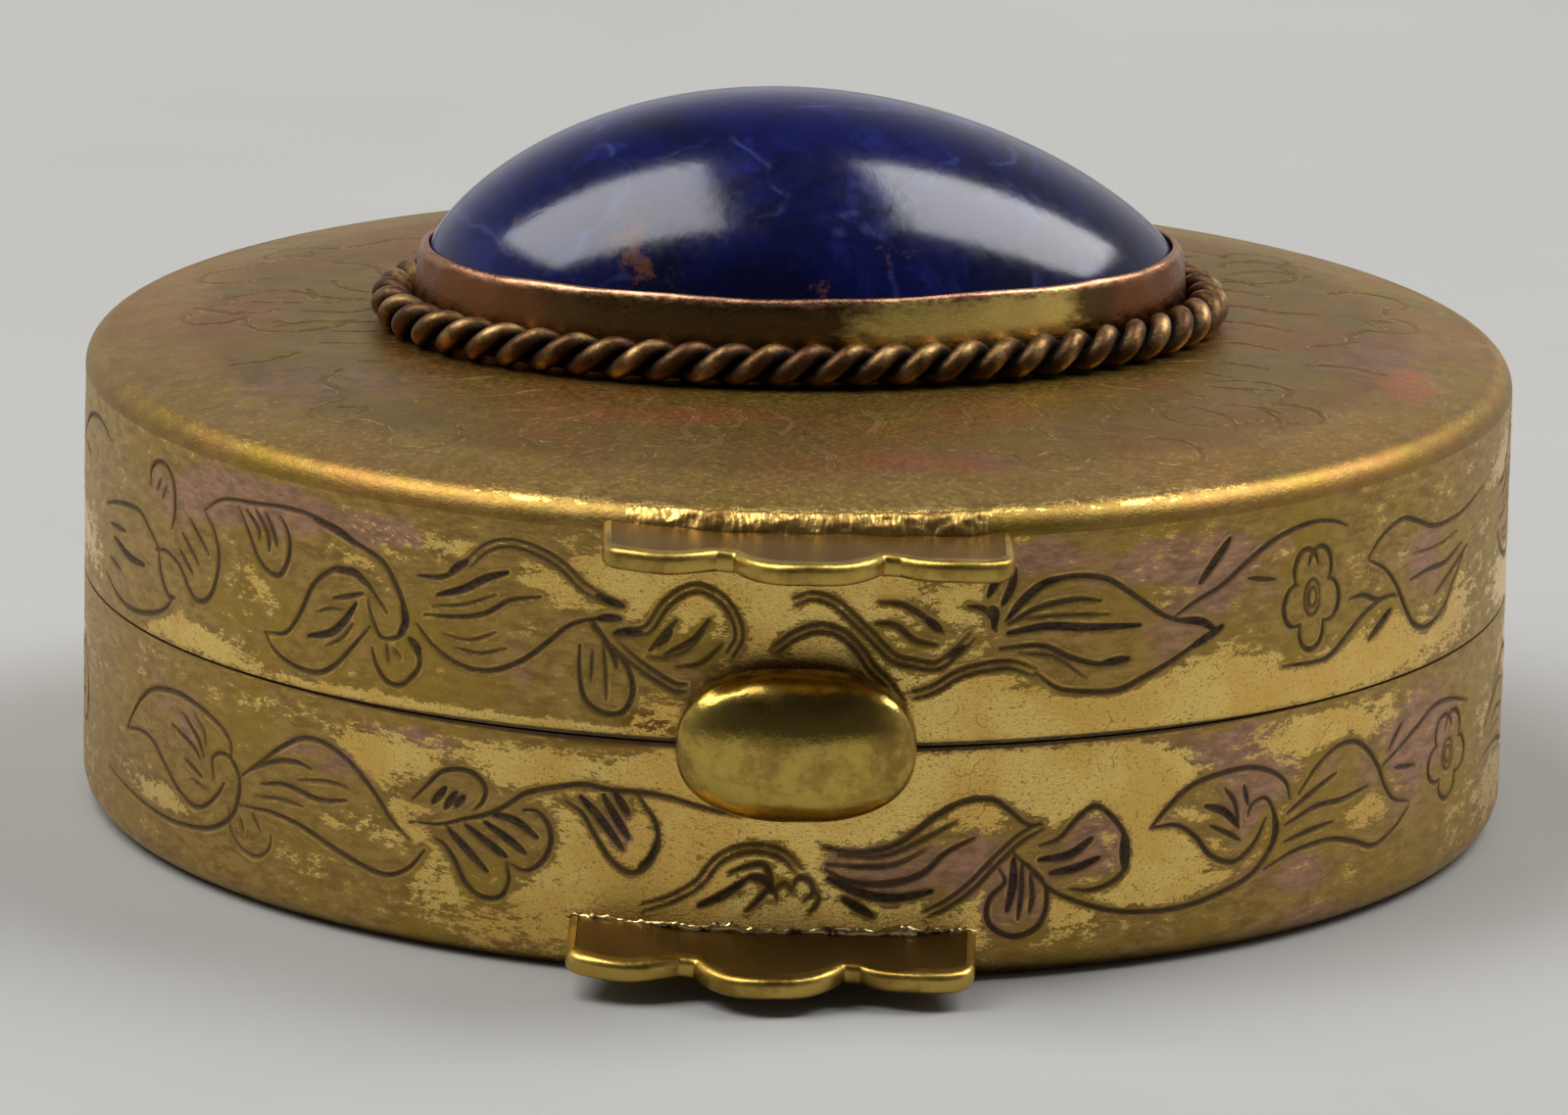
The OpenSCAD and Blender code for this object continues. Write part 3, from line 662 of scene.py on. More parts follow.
TIP_LEAF = {
    "inside": [
        [(12.6, 4.8), (14, 6.0), (16.5, 6.4), (18.5, 5.0), (17.4, 4.5), (15.8, 3.2), (14.4, 4.3)],
    ],
    "line": [
        [(7.5, 4.5), (8.2, 3.8), (9.0, 3.0), (10, 2.5), (11.2, 2.1), (12.6, 1.9), (14, 1.9), (15.2, 2.1),
         (16.6, 2.5), (17.4, 3.1), (17.9, 3.9), (17.8, 4.6), (17.4, 5.2), (16.8, 5.1), (16.6, 4.7)],
        [(12.6, 4.8), (13.2, 5.4), (14, 6.0), (15, 6.3), (16.5, 6.4), (17.6, 6.1), (18.3, 5.6),
         (18.5, 5.0)],
        [(12.6, 4.8), (13.6, 4.8), (14.4, 4.3), (15.0, 3.6), (15.8, 3.2), (16.4, 3.3), (17, 3.8),
         (17.4, 4.5)],
        [(15.6, 5.8), (16.0, 5.3), (16.2, 4.6)], [(16.4, 5.8), (16.6, 5.1)],
        [(15.0, 4.6), (15.8, 4.2), (16.3, 3.9)],
    ],
    "bold": [
        [(14.8, 5.3), (15.6, 5.0), (16.2, 4.4)], [(17.7, 3.4), (17.9, 4.0), (17.8, 4.6)],
    ],
}
RIGHT_FAN = {
    "inside": [
        [(18.9, 5.1), (20.8, 6.4), (22.6, 5.9), (23.6, 4.5), (25.2, 3.5), (23, 2.5), (20.5, 3.2),
         (17.6, 2.8)],
    ],
    "line": [
        [(18.9, 5.1), (19.8, 5.9), (20.8, 6.4), (21.8, 6.4), (22.6, 5.9), (23.2, 5.2), (23.6, 4.5),
         (24.2, 3.9), (25.2, 3.6)],
        [(17.4, 2.7), (18.8, 3.1), (20.5, 3.2), (21.8, 2.9), (23, 2.5), (24.2, 2.8), (25.2, 3.4)],
        [(18.4, 4.5), (19.5, 5.0), (20.8, 5.5)], [(18.3, 4.1), (19.8, 4.5), (21.2, 4.5), (22.6, 4.7)],
        [(18.3, 3.5), (19.5, 3.7), (20.7, 3.8)],
    ],
}
END_TWIG = {
    "line": [
        [(23.4, 5.2), (24.4, 5.6), (25.6, 6.1), (27, 6.6), (28.5, 6.5), (30, 6.1)],
        [(23.8, 5.7), (24.6, 6.5)], [(24.2, 5.0), (25.6, 4.8)],
    ],
}

BASE_VINE = [
    FAN_LEAF, CURL_LEAF, STEM_BUD, FINGERS, FINGER_LEAF, TAB_CURL, LONG_LEAF, STRIPED_BUD, BEAN_BUD, TIP_LEAF,
    RIGHT_FAN, END_TWIG, flower(28.2, 4.6, 1.5, 1.5),
]
# Where motifs repeat round the back: (motifs, shift along the wall)
LID_REPEATS = [
    (LID_VINE, BACK), ([BIG_LEAF, HANGING_BUD, KIDNEY_BUD], 46.7), ([RIGHT_LEAF, TWIG], 105.0),
]
BASE_REPEATS = [
    (BASE_VINE, BACK), ([FAN_LEAF, STEM_BUD, FINGERS], 53.5), ([LONG_LEAF, STRIPED_BUD, BEAN_BUD], 110.5),
]

# ---- Wear: (u, z, spread along the wall, spread in height, amount). Bright gilt is 1, tarnish 0. ----

LID_BRIGHT = [
    (-7.3, 13.2, 1.6, 0.9, 0.75), (-3.4, 13.9, 2.6, 0.9, 0.65), (-4.4, 12.5, 2.2, 1.0, 0.4),
    (1.5, 12.6, 3.6, 2.2, 0.7), (5.2, 9.6, 2.6, 1.4, 0.8), (9.5, 8.9, 4.2, 0.7, 0.8),
    (16.5, 8.9, 6.0, 0.7, 0.75), (14.6, 10.0, 2.6, 1.0, 0.5), (-23.5, 8.8, 2.6, 0.5, 0.7),
    (-12.0, 8.45, 8.0, 0.22, 0.7), (-8.6, 13.6, 1.2, 0.6, 0.5), (-9.0, 11.6, 1.0, 0.4, 0.35),
    (-11.6, 14.0, 1.6, 0.5, 0.45), (-15.4, 13.0, 1.6, 1.4, 0.28), (-20.4, 11.2, 1.8, 1.2, 0.25),
    (6.0, 12.9, 1.2, 1.3, 0.35), (12.7, 12.3, 0.8, 0.6, 0.4), (22.5, 9.4, 3.4, 1.0, 0.55),
    (27.5, 10.0, 3.0, 1.6, 0.4), (24.5, 12.6, 2.0, 0.8, 0.35), (-27.5, 9.6, 2.0, 1.4, 0.3),
    (-4.0, 9.4, 1.8, 0.7, 0.25), (17.5, 13.6, 1.2, 0.5, 0.2),
]
BASE_BRIGHT = [
    (3.5, 6.9, 8.5, 1.5, 0.85), (-4.0, 3.6, 6.5, 3.0, 0.75), (2.5, 2.6, 4.5, 2.6, 0.55),
    (9.8, 6.8, 5.0, 1.2, 0.65), (13.2, 4.0, 3.4, 1.8, 0.6), (10.5, 2.2, 4.0, 1.0, 0.4),
    (-14.5, 6.6, 2.2, 0.7, 0.6), (-14.0, 4.2, 1.8, 0.9, 0.55), (-16.5, 4.0, 1.2, 0.5, 0.35),
    (-26.0, 2.7, 2.6, 0.6, 0.55), (-9.5, 6.9, 2.4, 0.7, 0.4), (20.5, 7.2, 3.4, 0.8, 0.6),
    (22.6, 3.9, 1.8, 0.8, 0.55), (18.9, 4.3, 1.4, 1.5, 0.3), (-12.4, 2.2, 1.5, 0.9, 0.3),
    (-20.0, 7.3, 2.0, 0.4, 0.25), (17.6, 1.9, 2.0, 0.5, -0.3), (15.5, 7.4, 1.8, 0.9, -0.35),
    (4.5, 3.9, 3.6, 0.9, -0.25), (-1.0, 8.0, 30.0, 0.2, -0.35),
]
LID_MAUVE = [
    (-21.0, 14.2, 3.6, 1.0, 1.1), (-14.0, 14.2, 2.4, 0.6, 0.7), (-9.5, 10.0, 1.6, 0.9, 0.5),
    (12.0, 14.0, 3.0, 0.8, 0.8), (8.0, 14.6, 1.8, 0.8, 0.9), (15.5, 13.4, 3.0, 1.8, 0.7),
    (19.5, 10.6, 2.4, 1.4, 0.4), (-18.5, 14.4, 4.0, 0.8, 0.5), (25.5, 12.2, 3.0, 1.5, 0.6),
    (-25.0, 13.4, 2.4, 1.2, 0.5), (-1.0, 9.9, 4.0, 0.8, 0.4), (13.5, 11.0, 2.0, 1.5, 0.4),
]
BASE_MAUVE = [
    (-12.5, 7.2, 3.2, 0.6, 0.8), (-27.0, 7.0, 2.5, 1.0, 0.5), (18.5, 6.0, 3.0, 1.0, 0.4),
    (3.8, 4.0, 3.4, 1.1, 0.95), (11.0, 4.4, 1.8, 1.1, 0.8), (15.6, 7.3, 2.6, 0.9, 0.9),
    (7.6, 2.6, 1.3, 1.3, 0.6), (26.0, 5.6, 3.4, 2.6, 0.8), (16.4, 4.9, 2.2, 1.4, 0.5),
    (19.0, 2.3, 3.0, 0.8, 0.7), (-23.5, 5.4, 2.6, 1.2, 0.3), (-15.5, 6.0, 2.4, 0.6, 0.5),
    (-7.0, 2.6, 2.2, 0.6, 0.5), (-5.5, 4.8, 2.4, 1.0, 0.5), (-19.5, 6.4, 2.0, 0.8, 0.3),
]
# Darker spots, in the same columns. The long thin ones on the seam beside the button are painted shade under
# the lid's edge; the rest darken the tarnish.
LID_DARK_SPOTS = [
    (-4.9, 8.8, 1.3, 0.7, 1.2), (4.6, 9.6, 0.7, 0.7, 0.7), (7.5, 8.25, 4.0, 0.16, 1.2),
    (-13.5, 10.5, 5.0, 1.4, 0.3), (9.0, 11.2, 2.0, 1.2, 0.3),
]
BASE_DARK_SPOTS = [
    (0, 1.2, 9.0, 0.7, 0.6), (-6.5, 8.1, 2.8, 0.3, 1.3), (6.0, 8.1, 3.5, 0.16, 1.2),
    (-14.0, 5.2, 2.5, 1.0, 0.2), (-8.5, 4.6, 1.8, 1.0, 0.3),
]


def spots(u, z, marks, wrap=None):
    """Sum of soft spots at points. wrap is the length after which u starts again."""
    total = np.zeros(np.broadcast(u, z).shape)
    for u0, z0, spread_u, spread_z, amount in marks:
        du = u - u0
        if wrap:
            du = (du + wrap / 2) % wrap - wrap / 2
        total += amount * np.exp(-((du / spread_u) ** 2) - ((z - z0) / spread_z) ** 2)
    return total


def chance_marks(seed, count, z_range, amounts):
    """Spots for the part of a wall behind the front, the same on every run."""
    draw = np.random.default_rng(seed)
    marks = []
    for _ in range(count):
        marks.append((
            draw.uniform(33, ROUND_WALL - 33), draw.uniform(*z_range),
            draw.uniform(1.5, 5.0), draw.uniform(0.5, 1.6), draw.uniform(*amounts),
        ))
    return marks


def drawn_wall(vine, repeats):
    """Canvas for one shell's wall with its vine all the way round."""
    canvas = Canvas((-BACK, 0), (BACK, EDGE_Z), 0.05, wraps=True)
    for motif in vine:
        engrave(canvas, motif)
    for motifs, shift in repeats:
        for motif in motifs:
            engrave(canvas, motif, shift)
    canvas.soften_leaves()
    return canvas


def wall_points(span, columns, rows, foot, top, side):
    """Angles, u and heights over a wall. The free edge follows the stem's notch; side is 1 if it is below."""
    turn = np.linspace(span[0] / CASE_R, span[1] / CASE_R, columns)
    x = CASE_R * np.sin(turn)
    front = np.cos(turn) > 0
    rise = np.sqrt(np.clip(NOTCH_R**2 - (x - NOTCH_X) ** 2, 0, None)) * front
    edge = SEAM + side * rise
    t = np.linspace(0, 1, rows)[:, None]
    if side > 0:
        low, high = np.maximum(edge, foot)[None, :], np.full((1, columns), top)
    else:
        low, high = np.full((1, columns), foot), np.minimum(edge, top)[None, :]
    z = low + (high - low) * t
    return turn, np.broadcast_to(CASE_R * turn, z.shape), z


def groove(cut, depth):
    """How far the surface moves out at a distance from a cut: down into it, and up a little in its burr."""
    down = np.clip((0.03 - cut) * 0.7, 0, depth)
    burr = 0.22 * depth * np.exp(-(((cut - 0.07) / 0.05) ** 2))
    return burr - down


def waves(u, z, size):
    """Slow unevenness of hand-worked sheet, closed round the wall."""
    k = 2 * math.pi / ROUND_WALL
    slow, quick = np.sin(7 * k * u + 0.6 * z), 0.7 * np.sin(17 * k * u - 0.9 * z + 1)
    return size * (slow + quick + 0.5 * np.sin(31 * k * u + 1.7 * z + 2))


def on_wall(turn, radius, z):
    return np.stack(np.broadcast_arrays(radius * np.sin(turn), -radius * np.cos(turn), z), axis=-1)


def engraved_wall(name, body, canvas, span, columns, rows, foot, top, inner, side, marks, material):
    """Part of a shell's wall, over a span of u. marks are its bright, mauve and darker spots; the darker ones
    hold painted shade along the seam.
    """
    turn, u, z = wall_points(span, columns, rows, foot, top, side)
    cut = canvas.sample(canvas.cut, u, z)
    leaf = canvas.sample(canvas.leaf, u, z)
    ink = canvas.sample(canvas.ink, u, z)
    calm = blend(0, 0.5, np.minimum(z - foot, top - z))
    outer = CASE_R + groove(cut, 0.06) * calm + waves(u, z, 0.006) * calm
    inner_z = np.linspace(1, 0, 4)[:, None] * (z[-1] - z[0]) + z[0]
    grid = np.concatenate([on_wall(turn, outer, z), on_wall(turn, np.full(inner_z.shape, inner), inner_z)])
    obj = grid_object(name, grid, material, closed_rows=True, ends=True)
    # Painted shade in the seam: a dark line along the wall's free edge, 0.12 mm wide at the front and fading
    # out 22 mm to either side, inked like a cut.
    edge = abs(z - np.where(side > 0, foot, top)) - 0.12 * blend(22, 8, abs(u))
    cut_and_seam_shade = np.minimum(cut, edge)
    ink = np.where(edge < cut, 0.9, ink)
    gilded = np.clip(spots(u, z, marks[0], ROUND_WALL), -0.5, 0.62)
    worn = 0.2 + gilded - 0.2 * leaf - 0.5 * np.exp(-np.clip(cut, 0, None) / 0.15)
    inside = np.zeros(inner_z.shape)
    paint(
        obj,
        cut=np.concatenate([cut_and_seam_shade, inside + Canvas.REACH]),
        ink=np.concatenate([ink, inside]),
        worn=np.concatenate([worn, inside + 0.45]),
        mauve=np.concatenate([spots(u, z, marks[1], ROUND_WALL) + 0.12 * leaf, inside + 0.2]),
        rust=np.concatenate([np.zeros(u.shape), inside]),
        # Darker, duller tarnish; along the seam this is painted shade under the lid's edge.
        dull=np.concatenate([spots(u, z, marks[2], ROUND_WALL) - 0.25, inside + 0.3]),
    )
    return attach(obj, body)


# ---- Lid top: (x, y, spread, spread, amount) ----

TOP_BRIGHT = [
    (-14.5, -17.5, 4.5, 3.0, 0.35), (12.5, -18.8, 6.0, 3.0, 0.35), (-19.5, -9.0, 3.0, 5.0, 0.25),
    (0, 21, 9, 3, 0.3), (18, 12, 5, 5, 0.25), (-16, 14, 5, 4, 0.2),
]
TOP_MAUVE = [
    (-16, -10, 5, 4, 0.7), (5, -19.5, 3.5, 1.6, 0.8), (20, -4, 2.6, 6, 0.8), (-20, 2, 3, 6, 0.5),
    (9, -14.5, 5, 2, 0.45), (-10, -19, 4, 1.6, 0.4), (6, 17, 8, 4, 0.5),
]
TOP_RUST = [
    (-6.0, -15.5, 7.0, 3.0, 0.35), (6.5, -18.5, 5.0, 1.6, 0.45), (-3.5, -14.2, 4.2, 1.5, 0.6),
    (-12.5, -10.5, 3.0, 1.6, 0.5), (21, -6.5, 1.6, 3.5, 0.8), (3.5, -20.2, 3.0, 1.0, 0.6),
    (15.5, -7.5, 2.0, 2.0, 0.3), (-19, -3, 2.0, 3.0, 0.4), (8, 13, 3, 2, 0.3),
]
TOP_FERN = {
    "line": [
        [(-7.2, -19.8), (-6.8, -20.5), (-6.0, -20.7), (-5.2, -20.3), (-4.9, -19.4), (-5.4, -18.7)],
        [(-5.4, -18.7), (-4.2, -18.9), (-3.0, -18.6), (-2.6, -17.4), (-3.0, -16.0), (-3.9, -15.2)],
        [(0.5, -18.3), (1.1, -19.5), (1.1, -21.0)],
        [(-7.4, -18.9), (-8.6, -18.3), (-9.2, -17.0), (-8.6, -15.8), (-7.2, -15.6)],
    ],
    "fine": [
        [(-5.0, -12.2), (-5.4, -13.6), (-5.0, -15.0), (-5.5, -16.4)],
        [(-3.9, -13.0), (-3.4, -14.6), (-3.9, -16.4), (-3.5, -18.2)],
        [(-6.4, -12.6), (-6.9, -14.2), (-6.5, -15.6)], [(-2.2, -13.2), (-1.9, -14.8), (-2.3, -16.4)],
        [(-1.0, -13.4), (-0.2, -15.2), (-0.6, -17.2)], [(-6.2, -19.4), (-5.8, -18.2), (-6.2, -17.2)],
        [(-4.4, -18.0), (-3.6, -17.2)],
    ],
}
TOP_CUP = {
    "line": [
        [(7.2, -18.6), (7.6, -19.6), (8.6, -20.1), (9.6, -19.6), (9.9, -18.6)],
        [(9.9, -18.6), (11.2, -18.2), (12.6, -18.6), (13.6, -17.6), (13.2, -16.2), (11.8, -15.8)],
        [(3.4, -17.6), (4.6, -18.6), (6.0, -18.4), (7.2, -18.6)],
    ],
    "fine": [
        [(10.2, -11.2), (10.8, -12.6), (10.4, -14.0)], [(11.4, -10.6), (12.2, -12.0), (11.9, -13.4)],
        [(13.4, -11.6), (14.6, -12.8), (14.8, -14.4)], [(15.2, -11.0), (16.2, -12.2), (16.4, -13.8)],
        [(8.0, -12.0), (8.4, -13.6), (8.0, -15.2), (8.6, -16.6)],
        [(5.6, -12.6), (5.9, -14.4), (5.4, -16.2)], [(2.2, -13.2), (2.8, -15.0), (2.4, -16.8)],
        [(8.0, -19.0), (8.6, -18.2), (9.2, -18.9)],
    ],
}


def drawn_top():
    """Wreath of light cuts around the setting."""
    size = CASE_R - 0.5
    canvas = Canvas((-size, -size), (size, size), 0.05, wraps=False)
    for step in range(5):
        for motif in (TOP_FERN, TOP_CUP):
            turn = math.radians(72 * step)
            spin = np.array([[math.cos(turn), math.sin(turn)], [-math.sin(turn), math.cos(turn)]])
            for kind, width, ink in (("line", 0.2, 0.6), ("fine", 0.17, 0.4)):
                for points in motif[kind]:
                    canvas.stroke(curve(points) @ spin, width, ink)
    return canvas


def crown_z(r):
    return SEAT_Z - CROWN * np.clip((r - SEAT_R) / (CROWN_R - SEAT_R), 0, None) ** 2.4


def arc(r, z, radius, start, stop, steps):
    a = np.radians(np.linspace(start, stop, steps))
    return [(r + radius * math.cos(t), z + radius * math.sin(t)) for t in a]


def turned(profile, columns):
    """Grid from a profile of (r, z) turned round the vertical."""
    turn = np.linspace(0, 2 * math.pi, columns, endpoint=False)
    r, z = np.array(profile).T
    return on_wall(turn[None, :], r[:, None], z[:, None])


def lid_top(half, span, columns, rows, canvas, material):
    """Part of the lid's crowned top with its rounded edge, over a span of u."""
    turn, hub = np.linspace(span[0] / CASE_R, span[1] / CASE_R, columns), 0.6
    ceiling = [(r, float(crown_z(r)) - SHEET) for r in np.linspace(hub, CROWN_R, 5)]
    profile = ceiling + arc(CROWN_R, WALL_TOP, LID_ROUND - SHEET, 80, 0, 4)
    inner_rows = len(profile)
    profile += [(CASE_R, WALL_TOP), (CASE_R, WALL_TOP + 0.02)] + arc(CROWN_R, WALL_TOP, LID_ROUND, 2, 90, 14)
    profile += [(r, float(crown_z(r))) for r in np.linspace(CROWN_R - 0.1, BEZEL_B, rows)] + [(hub, SEAT_Z)]
    r, z = np.array(profile).T
    grid = on_wall(turn[None, :], r[:, None], z[:, None])
    x, y = grid[..., 0], grid[..., 1]
    r = np.hypot(x, y)
    outer = np.arange(len(profile))[:, None] >= inner_rows
    cut = np.where(outer & (r < CROWN_R), canvas.sample(canvas.cut, x, y), Canvas.REACH)
    flat = outer * blend(CASE_R - 0.1, CROWN_R - 1.0, r)
    angle = np.arctan2(y, x)
    lumps = 0.012 * np.sin(5 * angle + 0.5 * r) + 0.008 * np.sin(9 * angle - 0.8 * r + 1)
    grid[..., 2] += flat * (groove(cut, 0.03) + lumps * blend(8, 15, r))
    obj = grid_object(f"lid_top_{half}", grid, material, closed_rows=True, ends=True, sharp=50)
    rubbed = blend(CROWN_R - 0.3, CROWN_R + 0.1, r) * blend(CASE_R - 0.15, CASE_R - 0.4, r)
    rubbed *= 0.2 + 0.36 * blend(17, 8, abs(x)) * (y < 0)
    worn = np.where(outer, -0.15 + 0.6 * spots(x, y, TOP_BRIGHT) + rubbed, 0.45)
    paint(
        obj,
        cut=cut,
        ink=np.where(outer, canvas.sample(canvas.ink, x, y), 0),
        worn=worn,
        mauve=spots(x, y, TOP_MAUVE) * blend(24.2, 23.2, r),
        rust=spots(x, y, TOP_RUST) * blend(24, 23, r),
        dull=np.where(outer, 0.7 - 0.2 * blend(20.5, 22, r), 0.3),
    )
    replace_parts(obj, "lid_shell")
    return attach(obj, "lid")


def base_floor(material):
    columns, hub = 720, 2.0
    inner_round = BASE_ROUND - SHEET
    profile = [(r, 0) for r in np.linspace(hub, CASE_R - BASE_ROUND, 30)]
    profile += arc(CASE_R - BASE_ROUND, BASE_ROUND, BASE_ROUND, -84, -2, 14)
    profile += [(CASE_R, BASE_ROUND - 0.02), (CASE_R, BASE_ROUND), (COLLAR_R, BASE_ROUND)]
    profile += arc(COLLAR_R - inner_round, SHEET + inner_round, inner_round, -10, -90, 4)
    profile += [(r, SHEET) for r in np.linspace(COLLAR_R - inner_round - 1, hub, 8)]
    grid = turned(profile, columns)
    obj = grid_object("base_floor", grid, material, caps=True, sharp=50)
    u = np.arctan2(grid[..., 0], -grid[..., 1]) * CASE_R
    paint(
        obj,
        cut=np.full(u.shape, Canvas.REACH),
        ink=np.zeros(u.shape),
        worn=0.15 + spots(u, grid[..., 2], [(-2, 1, 9, 1.5, 0.3), (70, 1, 20, 3, 0.15)], ROUND_WALL),
        mauve=spots(u, grid[..., 2], [(20, 0.6, 6, 1.5, 0.5), (-40, 0.6, 12, 2, 0.3)], ROUND_WALL),
        rust=np.zeros(u.shape),
        dull=np.full(u.shape, 0.0),
    )
    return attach(obj, "base")


# ---- Cast and wire parts ----

def tidy_normals(obj):
    """Turns every face of a closed piece outward."""
    shape = bmesh.new()
    shape.from_mesh(obj.data)
    bmesh.ops.recalc_face_normals(shape, faces=shape.faces)
    shape.to_mesh(obj.data)
    shape.free()
    return obj


TAB_W, TAB_T = 13.6, 0.75
TAB_REACH, TAB_SIDE_REACH, TAB_NOTCH_REACH = 4.2, 3.1, 2.5
MIDDLE_HALF, NOTCH_W, TAB_CORNER = 2.5, 0.5, 0.9
TAB_TILT = 0.75
LID_TAB_Z, LID_TAB_SLOPE, LID_TAB_TURN = 15.5, 1, 0.95
BASE_TAB_Z, BASE_TAB_SLOPE, BASE_TAB_TURN = 1.78, 7, -1.2


def tab_edge():
    """Free edge of a thumb tab in plan, from its left root round the three lobes to its right root."""
    side_half = (TAB_W / 2 - MIDDLE_HALF - NOTCH_W) / 2
    side_x = MIDDLE_HALF + NOTCH_W + side_half
    x = TAB_W / 2 * np.sin(np.linspace(-math.pi / 2, math.pi / 2, 381))
    reach = np.full(x.shape, TAB_NOTCH_REACH)
    for centre, half, peak in ((0, MIDDLE_HALF, TAB_REACH), (-side_x, side_half, TAB_SIDE_REACH),
                               (side_x, side_half, TAB_SIDE_REACH)):
        rise = peak - TAB_NOTCH_REACH
        r = (half * half + rise * rise) / (2 * rise)
        lobe = peak - r + np.sqrt(np.clip(r * r - (x - centre) ** 2, 0, None))
        reach = np.where(abs(x - centre) < half, np.maximum(reach, lobe), reach)
    rise = TAB_SIDE_REACH - TAB_NOTCH_REACH
    side_r = (side_half * side_half + rise * rise) / (2 * rise)
    corner_x = TAB_W / 2 - TAB_CORNER
    corner_reach = TAB_SIDE_REACH - side_r + math.sqrt((side_r - TAB_CORNER) ** 2 - (corner_x - side_x) ** 2)
    join_x = side_x + (corner_x - side_x) * side_r / (side_r - TAB_CORNER)
    corner = corner_reach + np.sqrt(np.clip(TAB_CORNER**2 - (abs(x) - corner_x) ** 2, 0, None))
    reach = np.where(abs(x) > join_x, corner, reach)
    front = np.stack([x, -CASE_R - reach], axis=1)
    side = np.linspace(-CASE_R + 1.4, front[0, 1], 24, endpoint=False)
    left = np.stack([np.full(side.shape, -TAB_W / 2), side], axis=1)
    right = np.stack([np.full(side.shape, TAB_W / 2), side[::-1]], axis=1)
    return np.vstack([left, front, right])


def tab_placing(z, slope, turn):
    spin = Matrix.Rotation(math.radians(turn), 4, "Z")
    lean = Matrix.Rotation(math.radians(TAB_TILT), 4, "Y") @ Matrix.Rotation(math.radians(slope), 4, "X")
    return spin @ Matrix.Translation((0, -CASE_R, z)) @ lean @ Matrix.Translation((0, CASE_R, -TAB_T))


def moved(points, matrix):
    m = np.array(matrix)
    return points @ m[:3, :3].T + m[:3, 3]


def thumb_tab(name, node, body, z, slope, turn, material):
    """Tab with a rolled edge. Its root runs a little way into the wall."""
    edge = tab_edge()
    along = np.gradient(edge, axis=0)
    for _ in range(5):
        along[1:-1] = (along[:-2] + along[1:-1] + along[2:]) / 3
    along /= np.linalg.norm(along, axis=1, keepdims=True)
    inward = np.stack([-along[:, 1], along[:, 0]], axis=1)
    rolled = [(0.3, 0.0), (0.17, 0.02), (0.07, 0.08), (0.015, 0.18), (0.0, 0.3), (0.0, 0.48), (0.02, 0.59),
              (0.075, 0.68), (0.16, 0.735), (0.3, 0.75)]
    root_x = np.clip(edge[:, 0], -TAB_W / 2 + 0.36, TAB_W / 2 - 0.36)
    root = np.stack([root_x, -np.sqrt((CASE_R - 0.55) ** 2 - root_x**2)], axis=1)
    root[:, 1] = np.maximum(root[:, 1], edge[:, 1])
    loops = []
    for inset, height in rolled:
        ring = edge + inset * inward
        loops.append(np.column_stack([ring, np.full(len(ring), height)]))
    face = 9
    start_low, start_high = loops[0], loops[-1]
    for k in range(1, face + 1):
        t = k / face
        flat = start_high[:, :2] * (1 - t) + root * t
        dish = -0.05 * np.sin(math.pi * min(1, 1.15 * t))
        loops.append(np.column_stack([flat, np.full(len(flat), TAB_T + dish)]))
    loops.append(np.column_stack([root, np.zeros(len(root))]))
    loops.append(np.column_stack([(start_low[:, :2] + root) / 2, np.zeros(len(root))]))
    grid = np.stack(loops, axis=1)
    unlevel = 0.03 * np.sin(0.9 * grid[..., 0] + 0.7) + 0.02 * np.sin(2.3 * grid[..., 0] + 0.8 * grid[..., 1])
    grid[..., 2] += unlevel
    grid[..., 1] += 0.03 * np.sin(1.7 * grid[..., 0] + 0.4)
    grid = moved(grid, tab_placing(z, slope, turn))
    obj = tidy_normals(grid_object(name, grid, material, caps=True, sharp=55))
    # The upper face, which the tab material paints darker as a painted reflection of the wall.
    step = np.arange(grid.shape[1])[None, :]
    top = (step >= len(rolled)) & (step < len(rolled) + face)
    paint(obj, face=np.broadcast_to(top, grid.shape[:2]).astype(float))
    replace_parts(obj, node)
    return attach(obj, body)


def solder_flood(name, body, turn, seed, material):
    """Solder that ran up over the lid's rounded edge above its tab."""
    draw = np.random.default_rng(seed)
    steps, rows, half = 260, 14, TAB_W / 2 - 0.3
    x = np.linspace(-half, half, steps)[None, :]
    rise = np.radians(np.linspace(-12, 74, rows))[:, None]
    rough = draw.normal(size=(rows + 2, steps + 6))
    rough = sum(rough[k:k + rows] for k in range(3)) / 1.7
    rough = sum(rough[:, k:k + steps] for k in range(7)) / 2.6
    t = np.linspace(0, 1, rows)[:, None]
    inside = np.clip(7 * t * (1 - t), 0, 1) * np.clip((half - abs(x)) / 0.8, 0, 1)
    proud = LID_ROUND - 0.08 + inside * (0.13 + 0.022 * rough)
    grids = []
    for reach in (proud, np.full((rows, steps), LID_ROUND - 0.35)[::-1]):
        a = rise if reach is proud else rise[::-1]
        r, z = CROWN_R + reach * np.cos(a), WALL_TOP + reach * np.sin(a)
        grids.append(np.stack([np.broadcast_to(x, r.shape), -np.sqrt(r * r - x * x), z], axis=-1))
    grid = moved(np.concatenate(grids), Matrix.Rotation(math.radians(turn), 4, "Z"))
    obj = grid_object(name, grid, material, closed_rows=True, ends=True, sharp=80)
    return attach(tidy_normals(obj), body)


